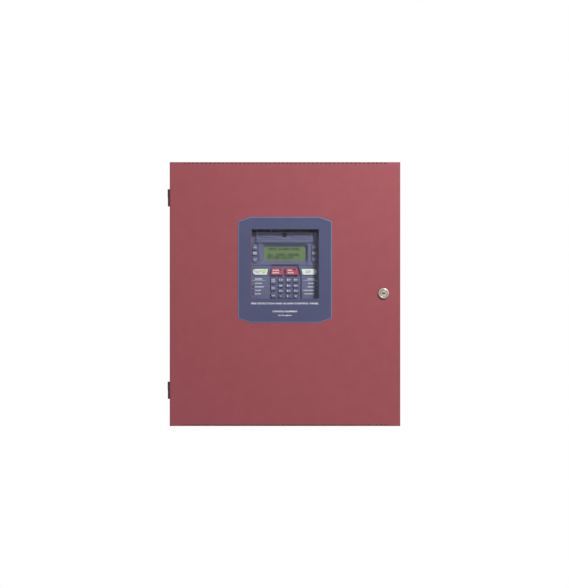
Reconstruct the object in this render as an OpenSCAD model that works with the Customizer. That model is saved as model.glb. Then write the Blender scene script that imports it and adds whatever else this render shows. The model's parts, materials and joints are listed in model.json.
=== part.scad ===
// Wall mounted fire alarm control panel.
// The origin is at the centre of the back face. +Z is up and the door faces -Y.

/* [Backbox] */
// Width of the backbox
box_w = 422.9; // [415:0.1:430]
// Height of the backbox
box_h = 482.6; // [475:0.1:490]
// Depth of the backbox
box_d = 132.3; // [130:0.1:136]
// Thickness of the sheet steel of the box and the door
sheet = 1.5; // [1.2:0.1:1.6]
// Width of the lips round the front of the backbox
lip_w = 15; // [12:0.5:16]
// Distance between the wall holes across
wall_dx = 355.6; // [340:0.1:370]
// Distance between the wall holes up
wall_dz = 419.1; // [400:0.1:425]
// Diameter of the wall holes
wall_hole_d = 7.2; // [5:0.1:8]
// Diameter of the larger conduit knockouts
knockout_d = 28.6; // [22:0.1:30]

/* [Door] */
// Width of the door
door_w = 427.3; // [427.1:0.1:428]
// Height of the door
door_h = 489.2; // [488:0.1:492]
// Depth of the door's turned edges
door_d = 18.2; // [17:0.1:18.4]
// Gap between the front of the box and the inside of the door
door_gap = 2.7; // [2.5:0.1:3]
// Number of vent slots along each of the top and bottom edges
slot_count = 48; // [20:1:50]
// Distance from one vent slot to the next
slot_pitch = 7.92; // [7:0.01:8.2]
// Width of a vent slot
slot_w = 4.2; // [3:0.1:5]
// Height of a vent slot
slot_h = 2.8; // [2:0.1:3.2]

/* [Hinges] */
// Height of each hinge above and below the middle
hinge_z = 179.4; // [150:0.1:190]
// Length of one knuckle
knuckle_l = 16; // [12:0.5:20]
// Diameter of the door's knuckles
knuckle_d = 7.3; // [7:0.1:7.4]
// Diameter of the hinge pins
pin_d = 3; // [2.5:0.1:3.2]

/* [Window] */
// Width of the window
win_w = 125.5; // [124:0.1:128]
// Height of the window
win_h = 128.5; // [126:0.1:130]
// Height of the window's middle above the middle of the box
win_z = 55.8; // [50:0.1:60]
// Width of the faceplate
bezel_w = 173.2; // [170:0.1:180]
// Height of the faceplate
bezel_h = 195.4; // [190:0.1:200]
// Height of the faceplate's middle above the middle of the box
bezel_z = 45.1; // [43:0.1:47]
// Thickness of the faceplate
bezel_t = 1; // [0.8:0.1:1.4]
// Thickness of the window lens
lens_t = 2.5; // [2:0.1:2.6]

/* [Lock] */
// Distance of the lock to the right of the middle
lock_x = 182.6; // [180:0.1:184]
// Height of the lock above the middle
lock_z = 1.2; // [-20:0.1:20]
// Diameter of the lock's face
lock_face_d = 20.4; // [20:0.1:22]
// Diameter of the lock's plug
plug_d = 12.6; // [12:0.1:13]
// Height of the keyway in the plug
keyway_h = 1.8; // [1:0.1:2.4]
// Reach of the cam from the middle of the lock
cam_reach = 26; // [24:0.1:26.6]

/* [Display module] */
// Width of the module cover
mod_w = 142; // [140:0.5:144]
// Thickness of the moulded walls
wall = 2; // [1.8:0.1:2.2]
// Gap round every key
key_gap = 0.35; // [0.3:0.05:0.4]
// Travel of the keys
key_travel = 1; // [0.6:0.1:1]

/* [Electronics] */
// Width of the main circuit board
board_w = 360; // [340:1:370]
// Height of the main circuit board
board_h = 245; // [240:1:250]
// Length of a standby battery
battery_l = 151; // [150:0.5:151]
// Width of a standby battery
battery_w = 65; // [60:0.5:66]
// Height of a battery's case
battery_h = 94; // [90:0.5:95]

/* [Hidden] */

$fn = 48;
eps = 0.01;
far = 400;

red = [0.62, 0.35, 0.38];
dark_red = [0.4, 0.27, 0.3];
navy = [0.33, 0.34, 0.47];
slate = [0.43, 0.43, 0.54];
steel = [0.72, 0.72, 0.7];
nickel = [0.66, 0.65, 0.61];
board_green = [0.12, 0.35, 0.2];
ivory = [0.89, 0.89, 0.85];
key_red = [0.75, 0.31, 0.38];

// Planes along Y, from the door's face back to the wall
door_inner_y = -box_d - door_gap;
door_y = door_inner_y - sheet;
flange_y = door_y + door_d;

// The hinge axis stands just behind the door's turned edge and clear of the box's side
pivot_x = -box_w / 2 - knuckle_d / 2 - 0.3;
pivot_y = flange_y + knuckle_d / 2 + 0.25;
box_knuckle_d = knuckle_d - 0.9;
leaf_t = 1.2;
leaf_reach = 15;
pin_top = 13;

// Window hardware
frame_rebate = 10;
frame_land = 11;
frame_t = 1.2;
retainer_stud_d = 3;
retainer_x = win_w / 2 + frame_rebate + 5;
retainer_z = win_h / 2 + frame_rebate + 5;

// Lock
lock_head = 4;
lock_rear_y = door_y + 17.5;
barrel_d = 18.8;
keyway_w = 5.7;
plug_tail = 7;
cam_t = 1.6;
cam_w = 11;
cam_y = lock_rear_y + 0.4;
hook_r = 15;
hook_y = -box_d + sheet + 1.5;

// Chassis and boards
chassis_w = 390;
chassis_lo = -95;
chassis_hi = 225;
chassis_y = -22;
board_lo = -30;
board_y = -34;
board_t = 1.6;
board_face = board_y - board_t;
stud_x = 180;
stud_zs = [-80, 60, 220];
standoff_d = 6;

ribbon_w = 32;
ribbon_x = 30;

// Display module, across and up from the middle of the window
mod_x = -0.65;
mod_top = 59.4;
mod_bottom = -78;
mod_face = -120;
mod_back = -98;
lcd_y = mod_face + 6;
display_back = -108.4;
display_face = display_back - board_t;
mat_y = display_face - 1.4;
key_back = mat_y - key_travel - 0.4;
post_d = 7;
screw_post_d = 5;
posts = [for (x = [-64, 63]) for (z = [-71, 52]) [x, z]];
screw_place = [-1.3, 54.2];

// Recesses in the module cover
side_x = 55.2;
side_z = 20.7;
side_recess = 1.5;
wide_recess = 1.2;
pad_recess = 4;
pad_outline = [[-25, -1], [24.4, -1], [30.9, -22.5], [30.9, -66], [-33.5, -66], [-33.5, -22.5]];

// Transformer and batteries
trafo_x = 156;
trafo_w = 76;
trafo_h = 66;
trafo_d = 46;
floor_z = -box_h / 2 + sheet;
battery_y = -8;
battery_xs = [-129, 24];

// A block between two corners
module block(lo, hi) {
  translate(lo) cube(hi - lo);
}

// A block centred on the origin across and up, with each side moved in by inset, from y0 back to y1
module centred_block(w, h, inset, y0, y1) {
  block([-w / 2 + inset, y0, -h / 2 + inset], [w / 2 - inset, y1, h / 2 - inset]);
}

// A flat piece, drawn as seen from the front, whose back is at y and which is t thick
module upright(y, t) {
  translate([0, y, 0]) rotate([90, 0, 0]) linear_extrude(t) children();
}

// A rod along Y whose back end is at y
module rod(x, z, y, l, d) {
  translate([x, y, z]) rotate([90, 0, 0]) cylinder(d = d, h = l);
}

// A hexagonal piece along Y, with flats to the left and right
module hex_rod(x, z, y, l, flats) {
  translate([x, y, z]) rotate([90, 0, 0]) rotate(30) cylinder(d = flats / cos(30), h = l, $fn = 6);
}

module rounded(w, h, r) {
  square([w - 2 * r, h], center = true);
  square([w, h - 2 * r], center = true);
  for (sx = [-1, 1]) for (sz = [-1, 1])
    translate([sx * (w / 2 - r), sz * (h / 2 - r)]) circle(r);
}

module at_window() {
  translate([0, 0, win_z]) children();
}

// Backbox

module backbox() color(red) {
  difference() {
    centred_block(box_w, box_h, 0, -box_d, 0);
    centred_block(box_w, box_h, sheet, -box_d + sheet, -sheet);
    centred_block(box_w, box_h, lip_w, -box_d - eps, -box_d / 2);
    for (sx = [-1, 1]) for (sz = [-1, 1])
      rod(sx * wall_dx / 2, sz * wall_dz / 2, 1, 5, wall_hole_d);
    knockouts();
  }
  for (sx = [-1, 1]) for (z = stud_zs) rod(sx * stud_x, z, -sheet, 28, 4);
}

// Knockouts stay in place: each is a shallow ring cut into the outside of the sheet
module knockouts() {
  for (x = [-150, -90, -30, 30, 90, 150]) for (y = [-40, -90])
    translate([x, y, box_h / 2]) ring_groove();
  for (sx = [-1, 1]) for (z = [-150, -60, 80, 150]) for (y = [-40, -90])
    translate([sx * box_w / 2, y, z]) rotate([0, 90, 0]) ring_groove();
  for (x = [-60, 60]) translate([x, 0, 150]) rotate([90, 0, 0]) ring_groove();
}

module ring_groove() {
  for (d = [knockout_d, knockout_d - 6.4]) difference() {
    cylinder(d = d, h = 0.8, center = true);
    cylinder(d = d - 1, h = 1, center = true);
  }
}

module box_hinge_leaves() color(dark_red) {
  for (z = [-hinge_z, hinge_z]) difference() {
    union() {
      translate([pivot_x, pivot_y, z - knuckle_l]) cylinder(d = box_knuckle_d, h = knuckle_l - 0.3);
      block([pivot_x, pivot_y, z - knuckle_l], [-box_w / 2, pivot_y + box_knuckle_d / 2, z - 0.3]);
      block([-box_w / 2 - leaf_t, pivot_y, z - knuckle_l], [-box_w / 2, pivot_y + leaf_reach, z - 0.3]);
    }
    translate([pivot_x, pivot_y, z - knuckle_l + 1]) cylinder(d = pin_d, h = knuckle_l);
  }
}

module hinge_pins() color(steel) {
  for (z = [-hinge_z, hinge_z])
    translate([pivot_x, pivot_y, z - knuckle_l + 1]) {
      cylinder(d = pin_d, h = knuckle_l + pin_top - 2);
      translate([0, 0, knuckle_l + pin_top - 2]) cylinder(d1 = pin_d, d2 = pin_d - 1, h = 1);
    }
}

// Chassis and boards

module chassis_plate() color(steel) difference() {
  union() {
    block([-chassis_w / 2, chassis_y, chassis_lo], [chassis_w / 2, chassis_y + sheet, chassis_hi]);
    for (z = [chassis_lo, chassis_hi - sheet])
      block([-chassis_w / 2, chassis_y, z], [chassis_w / 2, -sheet, z + sheet]);
  }
  for (sx = [-1, 1]) for (z = stud_zs) rod(sx * stud_x, z, chassis_y + far / 2, far, 4.5);
}

module stud_nuts() color(steel) {
  for (sx = [-1, 1]) for (z = stud_zs) difference() {
    hex_rod(sx * stud_x, z, chassis_y, 3.2, 7);
    rod(sx * stud_x, z, chassis_y + 1, 6, 4.1);
  }
}

board_holes = [
  for (x = [-board_w / 2 + 6, 0, board_w / 2 - 6])
    for (z = [board_lo + 6, board_lo + board_h - 6]) [x, z]
];

// Short hexagonal spacers under the main board, and tall posts that carry the display module
module standoffs() color(nickel) {
  for (p = board_holes) difference() {
    hex_rod(p[0], p[1], chassis_y, chassis_y - board_y, standoff_d);
    rod(p[0], p[1], chassis_y - 2, far, 3);
  }
  at_window() {
    for (p = posts) post(p, display_back, post_d);
    for (p = posts) rod(p[0], p[1], display_back, 3.6, 3);
    difference() {
      post(screw_place, display_face - 2, screw_post_d);
      rod(screw_place[0], screw_place[1], display_face + 8, 20, 3.1);
    }
  }
}

module post(p, front_y, flats) {
  hex_rod(p[0], p[1], chassis_y, chassis_y - board_y, standoff_d);
  rod(p[0], p[1], board_y, board_t, 4);
  hex_rod(p[0], p[1], board_face, board_face - front_y, flats);
}

module main_circuit_board() color(board_green) difference() {
  block([-board_w / 2, board_face, board_lo], [board_w / 2, board_y, board_lo + board_h]);
  for (p = board_holes) rod(p[0], p[1], board_y + 1, 5, 4.2);
  at_window() for (p = concat(posts, [screw_place])) rod(p[0], p[1], board_y + 1, 5, 4.2);
}

module board_screws() color(steel) {
  for (p = board_holes) {
    rod(p[0], p[1], board_face, 2.2, 6);
    rod(p[0], p[1], board_face + 7, 7, 2.9);
  }
}

// Plug in wiring terminals along the lower edge, the upper edge and the right side of the board
module terminal_blocks() color([0.1, 0.42, 0.24]) {
  for (x = [-150, -108, 8, 76]) translate([x, 0, board_lo + 2]) terminal_block(7);
  translate([-59, 0, board_lo + 2]) terminal_block(6);
  for (x = [-150, -108, 56, 98]) translate([x, 0, board_lo + board_h - 13]) terminal_block(7);
  translate([132, 0, board_lo + 14]) terminal_block(6);
}

module terminal_block(ways) {
  pitch = 5.08;
  difference() {
    block([0, board_face - 14, 0], [ways * pitch, board_face, 12]);
    for (i = [0 : ways - 1])
      rod((i + 0.5) * pitch, 6, board_face - 12, 4, 3.6);
    for (i = [0 : ways - 1])
      block([(i + 0.5) * pitch - 1.6, board_face - 11, -eps], [(i + 0.5) * pitch + 1.6, board_face - 6, 3]);
  }
}

module relays() color([0.12, 0.15, 0.3]) {
  for (i = [0 : 4]) block([-150 + i * 24, board_face - 16, 150], [-130 + i * 24, board_face, 178]);
}

module heat_sink() color([0.3, 0.31, 0.33]) {
  block([104, board_face - 6, 60], [158, board_face, 110]);
  for (i = [0 : 8]) block([104 + i * 6.5, board_face - 26, 60], [106 + i * 6.5, board_face - 5, 110]);
}

module filter_capacitors() color([0.16, 0.2, 0.34]) {
  for (p = [[112, 140], [142, 140], [112, 24]]) {
    rod(p[0], p[1], board_face, 30, 22);
    rod(p[0], p[1], board_face - 30, 0.8, 20);
  }
}

// Transformer and batteries on the floor of the box

module transformer_core() color([0.35, 0.35, 0.38]) {
  translate([trafo_x, -10 - trafo_d / 2, floor_z]) {
    difference() {
      translate([-trafo_w / 2, -trafo_d / 2 + 8, 3]) cube([trafo_w, trafo_d - 16, trafo_h]);
      for (s = [-1, 1]) translate([s * 20 - 7, -trafo_d, 15]) cube([14, 2 * trafo_d, trafo_h - 24]);
    }
    difference() {
      translate([-trafo_w / 2 - 8, -trafo_d / 2 + 4, 0]) cube([trafo_w + 16, trafo_d - 8, 3]);
      for (s = [-1, 1]) translate([s * (trafo_w / 2 + 3.6), 0, -1]) cylinder(d = 4.5, h = 5);
    }
  }
}

module transformer_coil() color([0.85, 0.75, 0.35]) {
  translate([trafo_x, -10 - trafo_d / 2, floor_z + 15.2]) difference() {
    translate([-26.8, -trafo_d / 2, 0]) cube([53.6, trafo_d, trafo_h - 24.4]);
    translate([-13.2, -trafo_d / 2 + 7.8, -1]) cube([26.4, trafo_d - 15.6, trafo_h]);
  }
}

module battery_cases() color([0.2, 0.2, 0.22]) {
  for (x = battery_xs) translate([x, battery_y - battery_w / 2, floor_z]) difference() {
    linear_extrude(battery_h) rounded(battery_l, battery_w, 2);
    translate([0, 0, battery_h - 1.2]) linear_extrude(3) difference() {
      rounded(battery_l - 6, battery_w - 6, 1.5);
      rounded(battery_l - 9, battery_w - 9, 1);
    }
  }
}

terminal_dx = battery_l / 2 - 10;
terminal_y = battery_y - 10;
terminal_z = floor_z + battery_h;

module battery_terminals() color(nickel) {
  for (x = battery_xs) for (s = [-1, 1]) translate([x + s * terminal_dx, terminal_y, terminal_z]) {
    translate([-4, -3.2, 0]) cube([8, 6.4, 1]);
    translate([-0.4, -3.2, 1]) cube([0.8, 6.4, 6]);
  }
}

// A wire through a list of points, with a slightly fatter ball at each bend
module wire(points, d) {
  for (i = [0 : len(points) - 2]) {
    run = points[i + 1] - points[i];
    translate(points[i])
      rotate([0, acos(run[2] / norm(run)), atan2(run[1], run[0])])
        cylinder(d = d, h = norm(run), $fn = 20);
  }
  for (i = [1 : len(points) - 2]) translate(points[i]) sphere(d = d + 0.2, $fn = 20);
}

lead_d = 2.6;
lead_top = terminal_z + 14;
lead_plug_x = -20;
red_route = [
  [battery_xs[0] - terminal_dx, terminal_y, terminal_z + 7],
  [battery_xs[0] - terminal_dx, terminal_y, lead_top],
  [battery_xs[0] - terminal_dx + 12, -46, lead_top + 16],
  [lead_plug_x - 20, -46, lead_top + 20],
  [lead_plug_x, -46, board_lo - 14],
  [lead_plug_x, -46, board_lo + 1.8]
];
black_route = [
  [battery_xs[1] + terminal_dx, terminal_y, terminal_z + 7],
  [battery_xs[1] + terminal_dx, terminal_y, lead_top + 2],
  [battery_xs[1] + terminal_dx - 8, -46, lead_top + 16],
  [lead_plug_x + 24, -46, lead_top + 20],
  [lead_plug_x + 6, -46, board_lo - 14],
  [lead_plug_x + 6, -46, board_lo + 1.8]
];
jumper_route = [
  [battery_xs[0] + terminal_dx, terminal_y, terminal_z + 7],
  [battery_xs[0] + terminal_dx + 1, terminal_y, lead_top + 1],
  [battery_xs[1] - terminal_dx - 1, terminal_y, lead_top + 1],
  [battery_xs[1] - terminal_dx, terminal_y, terminal_z + 7]
];

module battery_leads() {
  color([0.7, 0.12, 0.12]) wire(red_route, lead_d);
  color([0.1, 0.1, 0.1]) wire(black_route, lead_d);
  color([0.1, 0.1, 0.1]) wire(jumper_route, lead_d);
  color(ivory) block([lead_plug_x - 5, -50, board_lo + 2], [lead_plug_x + 11, board_face, board_lo + 16]);
}

// Flat cable between the display board and the main board, with one long bend
module ribbon_cable() color([0.6, 0.6, 0.64]) translate([ribbon_x, 0, 0]) {
  out_y = board_face - 9;
  in_y = display_back + 8;
  t = 0.9;
  translate([-ribbon_w / 2, 0, 0]) rotate([90, 0, 90]) linear_extrude(ribbon_w)
    polygon([
      [out_y, 120], [out_y, 106], [out_y - 10, 98], [in_y + 10, 74], [in_y, 66], [in_y, 52],
      [in_y + t, 52], [in_y + t, 65.6], [in_y + 10.4, 73.1], [out_y - 9.6, 97.1], [out_y + t, 105.6],
      [out_y + t, 120]
    ]);
  block([-ribbon_w / 2 - 2, out_y - 0.4, 110], [ribbon_w / 2 + 2, board_face, 122]);
  block([-ribbon_w / 2 - 2, display_back, 50], [ribbon_w / 2 + 2, in_y + t, 62]);
}

// Display module

module module_outline(inset) {
  translate([mod_x, (mod_top + mod_bottom) / 2])
    rounded(mod_w - 2 * inset, mod_top - mod_bottom - 2 * inset, 3);
}

// The outlines of the recesses at the two sides of the display
module side_outline(grow) {
  for (s = [-1, 1]) translate([mod_x + s * side_x, side_z]) rounded(13 + 2 * grow, 38.4 + 2 * grow, 5);
}

// The recesses round the two white keys follow the keys' own outlines
module wide_outline(grow) {
  for (name = ["acknowledge", "reset"]) key_shape(key_of(name), grow);
}

module lcd_frustum() {
  lo = [-43.9, 0.9];
  hi = [42.6, 38.8];
  glass_lo = [-38.7, 7.4];
  glass_hi = [37.4, 31.4];
  y0 = mod_face - 1;
  y1 = lcd_y + 3;
  slope = [for (i = [0, 1]) (glass_lo[i] - lo[i]) / (lcd_y - mod_face)];
  top_slope = (hi[1] - glass_hi[1]) / (lcd_y - mod_face);
  right_slope = (hi[0] - glass_hi[0]) / (lcd_y - mod_face);
  intersection() {
    translate([0, 0, -20]) linear_extrude(80)
      polygon([
        [lo[0] - slope[0], y0], [hi[0] + right_slope, y0], [glass_hi[0], lcd_y], [glass_hi[0], y1],
        [glass_lo[0], y1], [glass_lo[0], lcd_y]
      ]);
    translate([-80, 0, 0]) rotate([90, 0, 90]) linear_extrude(160)
      polygon([
        [y0, lo[1] - slope[1]], [lcd_y, glass_lo[1]], [y1, glass_lo[1]], [y1, glass_hi[1]],
        [lcd_y, glass_hi[1]], [y0, hi[1] + top_slope]
      ]);
  }
}

module module_cover() color(slate) at_window() difference() {
  union() {
    difference() {
      upright(mod_back, mod_back - mod_face) module_outline(0);
      upright(mod_back + eps, mod_back + eps - mod_face - wall) module_outline(wall);
    }
    upright(mod_face + side_recess + wall, side_recess + wall) side_outline(1.5);
    upright(mod_face + wide_recess + wall, wide_recess + wall) wide_outline(3);
    upright(mod_face + pad_recess + wall, pad_recess + wall) translate([-36, -68]) square([69.4, 70]);
    upright(lcd_y, lcd_y - mod_face) translate([-46, -1.5]) square([91, 42.5]);
    hood();
  }
  lcd_frustum();
  upright(mod_face + side_recess, far) side_outline(0);
  upright(mod_face + wide_recess, far) wide_outline(1.6);
  upright(mod_face + pad_recess, far) polygon(pad_outline);
  for (k = keys) {
    upright(mod_back, far) key_shape(k, key_gap);
    upright(mod_back, mod_back - key_floor(k)) key_shape(k, flange_w + 0.3);
  }
  for (p = label_leds) rod(p[0], p[1], mod_back, far, label_led_d + 0.6);
  rod(screw_place[0], screw_place[1], mod_back, far, 3.4);
  rod(screw_place[0], screw_place[1], mod_face + 0.5, far, 9);
}

// The raised brow above the display, with its two scoops and the notch for the screw
module hood() {
  difference() {
    upright(mod_face + eps, 3) translate([-53.6, 39.9]) square([105.3, 19.5]);
    for (x = [-29.2, 26.7]) upright(mod_face - 1.6, 3) translate([x, 51.2]) rounded(41, 7, 3.4);
    upright(mod_face, 4) translate([-6.8, 50.9]) square([11, 9]);
  }
}

module display_board() color(board_green) at_window() difference() {
  block([mod_x - mod_w / 2 + 3.5, display_face, -74.5], [mod_x + mod_w / 2 - 3.5, display_back, 56]);
  for (p = posts) rod(p[0], p[1], display_back + 1, 4, 3.3);
  rod(screw_place[0], screw_place[1], display_back + 1, 4, post_d + 2);
}

module lcd_glass() color([0.44, 0.52, 0.35]) at_window() {
  block([-44, lcd_y + 0.2, 3], [43, display_face, 36]);
}

module keypad_mat() color([0.25, 0.25, 0.28]) at_window() difference() {
  union() {
    block([-66, mat_y, -66], [65, display_face, 0.5]);
    for (s = [-1, 1]) translate([mod_x + s * side_x, 0, 0]) block([-7, mat_y, 0], [7, display_face, 41]);
  }
  for (p = concat(label_leds, key_leds)) rod(p[0], p[1], display_back, 5, p[2] + 0.6);
}

// Lamps: across, up and diameter
label_led_d = 2.4;
label_leds = [
  for (z = [-36.2, -42.3, -49.2, -55.7]) [-59.8, z, label_led_d],
  for (z = [-36.2, -42.3, -49.2, -55.7]) [58.2, z, label_led_d]
];
key_leds = [[-39.3, -14.1, 5.4], [-9.4, -10.6, 2.6], [17.6, -10.3, 2.6]];

module indicator_leds() color([0.63, 0.69, 0.39]) at_window() {
  for (p = label_leds) led(p, mod_face - 0.6);
  for (p = key_leds) led(p, mod_face - 1);
}

module led(p, front_y) {
  rod(p[0], p[1], display_face, display_face - front_y - p[2] / 2, p[2]);
  translate([p[0], front_y + p[2] / 2, p[1]]) sphere(d = p[2]);
}

module module_screw() color(nickel) at_window() difference() {
  union() {
    rod(screw_place[0], screw_place[1], mod_face + 0.5, 2.4, 7.4);
    rod(screw_place[0], screw_place[1], display_face + 5, display_face + 5 - mod_face - 0.5, 3);
  }
  for (a = [0, 90]) translate([screw_place[0], mod_face - 1.4, screw_place[1]]) rotate([0, a + 20, 0])
    cube([4.6, 1.4, 1], center = true);
}

// Keys: name, left, right, bottom, top, face, depth of the recess it stands in, and outline
side_face = mod_face - 0.5;
wide_face = mod_face - 0.8;
pad_face = mod_face + 1;
side_l = mod_x - side_x - 5;
side_r = mod_x + side_x - 5;
flange_w = 0.8;
pad_cols = [[-12.3, -2.9], [2, 11.4], [15.5, 25]];
pad_rows = [[-33.6, -24.5], [-43.3, -36.8], [-53, -46.6], [-62.8, -56.3]];
pad_names = [["1", "2", "3"], ["4", "5", "6"], ["7", "8", "9"], ["star", "0", "hash"]];
keys = [
  ["left_up", side_l, side_l + 10, 26.2, 37.9, side_face, side_recess, "up"],
  ["left_middle", side_l, side_l + 10, 16.4, 24.4, side_face, side_recess, "plain"],
  ["left_down", side_l, side_l + 10, 2.9, 14, side_face, side_recess, "down"],
  ["right_up", side_r, side_r + 10, 26.2, 37.9, side_face, side_recess, "up"],
  ["right_middle", side_r, side_r + 10, 16.4, 24.4, side_face, side_recess, "plain"],
  ["right_down", side_r, side_r + 10, 2.9, 14, side_face, side_recess, "down"],
  ["acknowledge", -60.1, -31.5, -19.9, -8.9, wide_face, wide_recess, "left"],
  ["silence", -27, -3.3, -19.9, -7.6, wide_face, pad_recess, "slant_left"],
  ["drill", 1.6, 25.7, -19.9, -7.6, wide_face, pad_recess, "slant_right"],
  ["reset", 30.4, 58.8, -19.9, -8.9, wide_face, wide_recess, "right"],
  ["function_1", -26.3, -17.2, -36.8, -24.5, pad_face, pad_recess, "plain"],
  ["function_2", -26.3, -17.2, -49.2, -40, pad_face, pad_recess, "plain"],
  ["function_3", -26.3, -17.2, -62.8, -53.7, pad_face, pad_recess, "corner_left"],
  for (r = [0 : 3]) for (c = [0 : 2]) [
    pad_names[r][c], pad_cols[c][0], pad_cols[c][1], pad_rows[r][0], pad_rows[r][1],
    pad_face, pad_recess, r < 3 || c == 1 ? "plain" : c == 0 ? "corner_left" : "corner_right"
  ]
];

function key_of(name) = [for (k = keys) if (k[0] == name) k][0];

// The back of the floor that a key comes through
function key_floor(k) = mod_face + k[6] + wall;

// The outline of a key's cap, grown all round
module key_shape(k, grow) {
  x0 = k[1] - grow;
  x1 = k[2] + grow;
  z0 = k[3] - grow;
  z1 = k[4] + grow;
  half = (x1 - x0) / 2;
  cut = 2.6;
  if (k[7] == "up") {
    translate([x0, z0]) square([x1 - x0, z1 - z0 - half]);
    translate([x0 + half, z1 - half]) circle(half);
  } else if (k[7] == "down") {
    translate([x0, z0 + half]) square([x1 - x0, z1 - z0 - half]);
    translate([x0 + half, z0 + half]) circle(half);
  } else if (k[7] == "left") {
    r = (z1 - z0) / 2;
    polygon([[x0 + r, z0], [x1 - 2.5, z0], [x1, z1], [x0 + r, z1]]);
    translate([x0 + r, z0 + r]) circle(r);
  } else if (k[7] == "right") {
    r = (z1 - z0) / 2;
    polygon([[x0 + 2.8, z0], [x1 - r, z0], [x1 - r, z1], [x0, z1]]);
    translate([x1 - r, z0 + r]) circle(r);
  } else if (k[7] == "slant_left") {
    polygon([[x0, z0], [x1, z0], [x1, z1], [x0 + cut, z1]]);
  } else if (k[7] == "slant_right") {
    polygon([[x0, z0], [x1, z0], [x1 - cut, z1], [x0, z1]]);
  } else if (k[7] == "corner_left") {
    polygon([[x0 + cut, z0], [x1, z0], [x1, z1], [x0, z1], [x0, z0 + cut]]);
  } else if (k[7] == "corner_right") {
    polygon([[x0, z0], [x1 - cut, z0], [x1, z0 + cut], [x1, z1], [x0, z1]]);
  } else {
    translate([x0, z0]) square([x1 - x0, z1 - z0]);
  }
}

// A key's cap, with the flange that keeps it behind the cover
module key(name) color(key_colour(name)) {
  k = key_of(name);
  at_window() difference() {
    union() {
      upright(key_back, key_back - k[5]) key_shape(k, 0);
      upright(key_floor(k) + 1, 0.8) key_shape(k, flange_w);
    }
    for (p = key_leds) rod(p[0], p[1], mod_back, far, p[2] + 0.7);
  }
}

function key_colour(name) =
  name == "silence" || name == "drill" ? key_red : name == "acknowledge" || name == "reset" ? ivory : slate;

// Door

module door_panel() color(red) {
  difference() {
    centred_block(door_w, door_h, 0, door_y, flange_y);
    centred_block(door_w, door_h, sheet, door_inner_y, 0);
    block([-win_w / 2 + 0.8, door_y - 1, win_z - win_h / 2], [win_w / 2, 0, win_z + win_h / 2]);
    rod(lock_x, lock_z, 0, far, barrel_d + 0.4);
    for (i = [0 : slot_count - 1]) for (s = [-1, 1])
      translate([(i - (slot_count - 1) / 2) * slot_pitch, door_y + 2, s * (door_h / 2 - slot_h / 2 + 1)])
        cube([slot_w, 6, slot_h + 2], center = true);
  }
  for (p = retainer_places) rod(p[0], p[1], door_inner_y + 8.4, 8.4, retainer_stud_d);
}

retainer_places = [
  for (sx = [-1, 1]) for (z = [-0.5, 0.5]) [sx * retainer_x, win_z + z * win_h],
  for (sz = [-1, 1]) for (x = [-0.3, 0.3]) [x * win_w, win_z + sz * retainer_z]
];

module door_hinge_leaves() color(dark_red) {
  for (z = [-hinge_z, hinge_z]) difference() {
    union() {
      translate([pivot_x, pivot_y, z]) cylinder(d = knuckle_d, h = knuckle_l);
      block([-door_w / 2 - leaf_t, pivot_y - leaf_reach, z], [-door_w / 2, pivot_y, z + knuckle_l]);
    }
    translate([pivot_x, pivot_y, z - 1]) cylinder(d = pin_d + 0.1, h = knuckle_l);
  }
}

module bezel_overlay() color(navy) {
  cut_x = 23;
  cut_z = 8;
  w = bezel_w / 2;
  h = bezel_h / 2;
  upright(door_y, bezel_t) difference() {
    translate([0, bezel_z]) polygon([
      [-w, -h + cut_z], [-w + cut_x, -h], [w - cut_x, -h], [w, -h + cut_z],
      [w, h - cut_z], [w - cut_x, h], [-w + cut_x, h], [-w, h - cut_z]
    ]);
    translate([0, win_z]) square([win_w, win_h], center = true);
  }
}

module window_lens() color([0.8, 0.85, 0.9, 0.3]) {
  upright(door_inner_y + lens_t, lens_t) translate([0, win_z])
    rounded(win_w + 2 * frame_rebate - 1, win_h + 2 * frame_rebate - 1, 3);
}

module window_retainer() color(steel) difference() {
  upright(door_inner_y + lens_t + frame_t, lens_t + frame_t) translate([0, win_z])
    rounded(win_w + 2 * (frame_rebate + frame_land), win_h + 2 * (frame_rebate + frame_land), 4);
  upright(door_inner_y + lens_t, 10) translate([0, win_z])
    rounded(win_w + 2 * frame_rebate, win_h + 2 * frame_rebate, 3);
  upright(0, far) translate([0, win_z]) square([win_w + 4, win_h + 4], center = true);
  for (p = retainer_places) rod(p[0], p[1], 0, far, retainer_stud_d + 0.4);
}

module retainer_nuts() color(steel) {
  for (p = retainer_places) difference() {
    hex_rod(p[0], p[1], door_inner_y + lens_t + frame_t + 2.4, 2.4, 5.5);
    rod(p[0], p[1], 0, far, retainer_stud_d + 0.1);
  }
}

// Lock

module lock_body() color(nickel) difference() {
  union() {
    rod(lock_x, lock_z, door_y, lock_head, lock_face_d);
    rod(lock_x, lock_z, lock_rear_y, lock_rear_y - door_y, barrel_d);
  }
  rod(lock_x, lock_z, 0, far, plug_d + 0.1);
}

module lock_nut() color(steel) difference() {
  hex_rod(lock_x, lock_z, door_inner_y + 4, 4, 23);
  rod(lock_x, lock_z, 0, far, barrel_d + 0.1);
}

module lock_plug() color(nickel) difference() {
  union() {
    rod(lock_x, lock_z, cam_y, cam_y - door_y + lock_head + 0.3, plug_d);
    translate([lock_x, cam_y + cam_t / 2, lock_z]) cube([plug_tail, cam_t, plug_tail], center = true);
  }
  translate([lock_x, door_y - lock_head, lock_z]) cube([keyway_w, 16, keyway_h], center = true);
  rod(lock_x, lock_z, 0, -cam_y + 8, 4.1);
}

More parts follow.
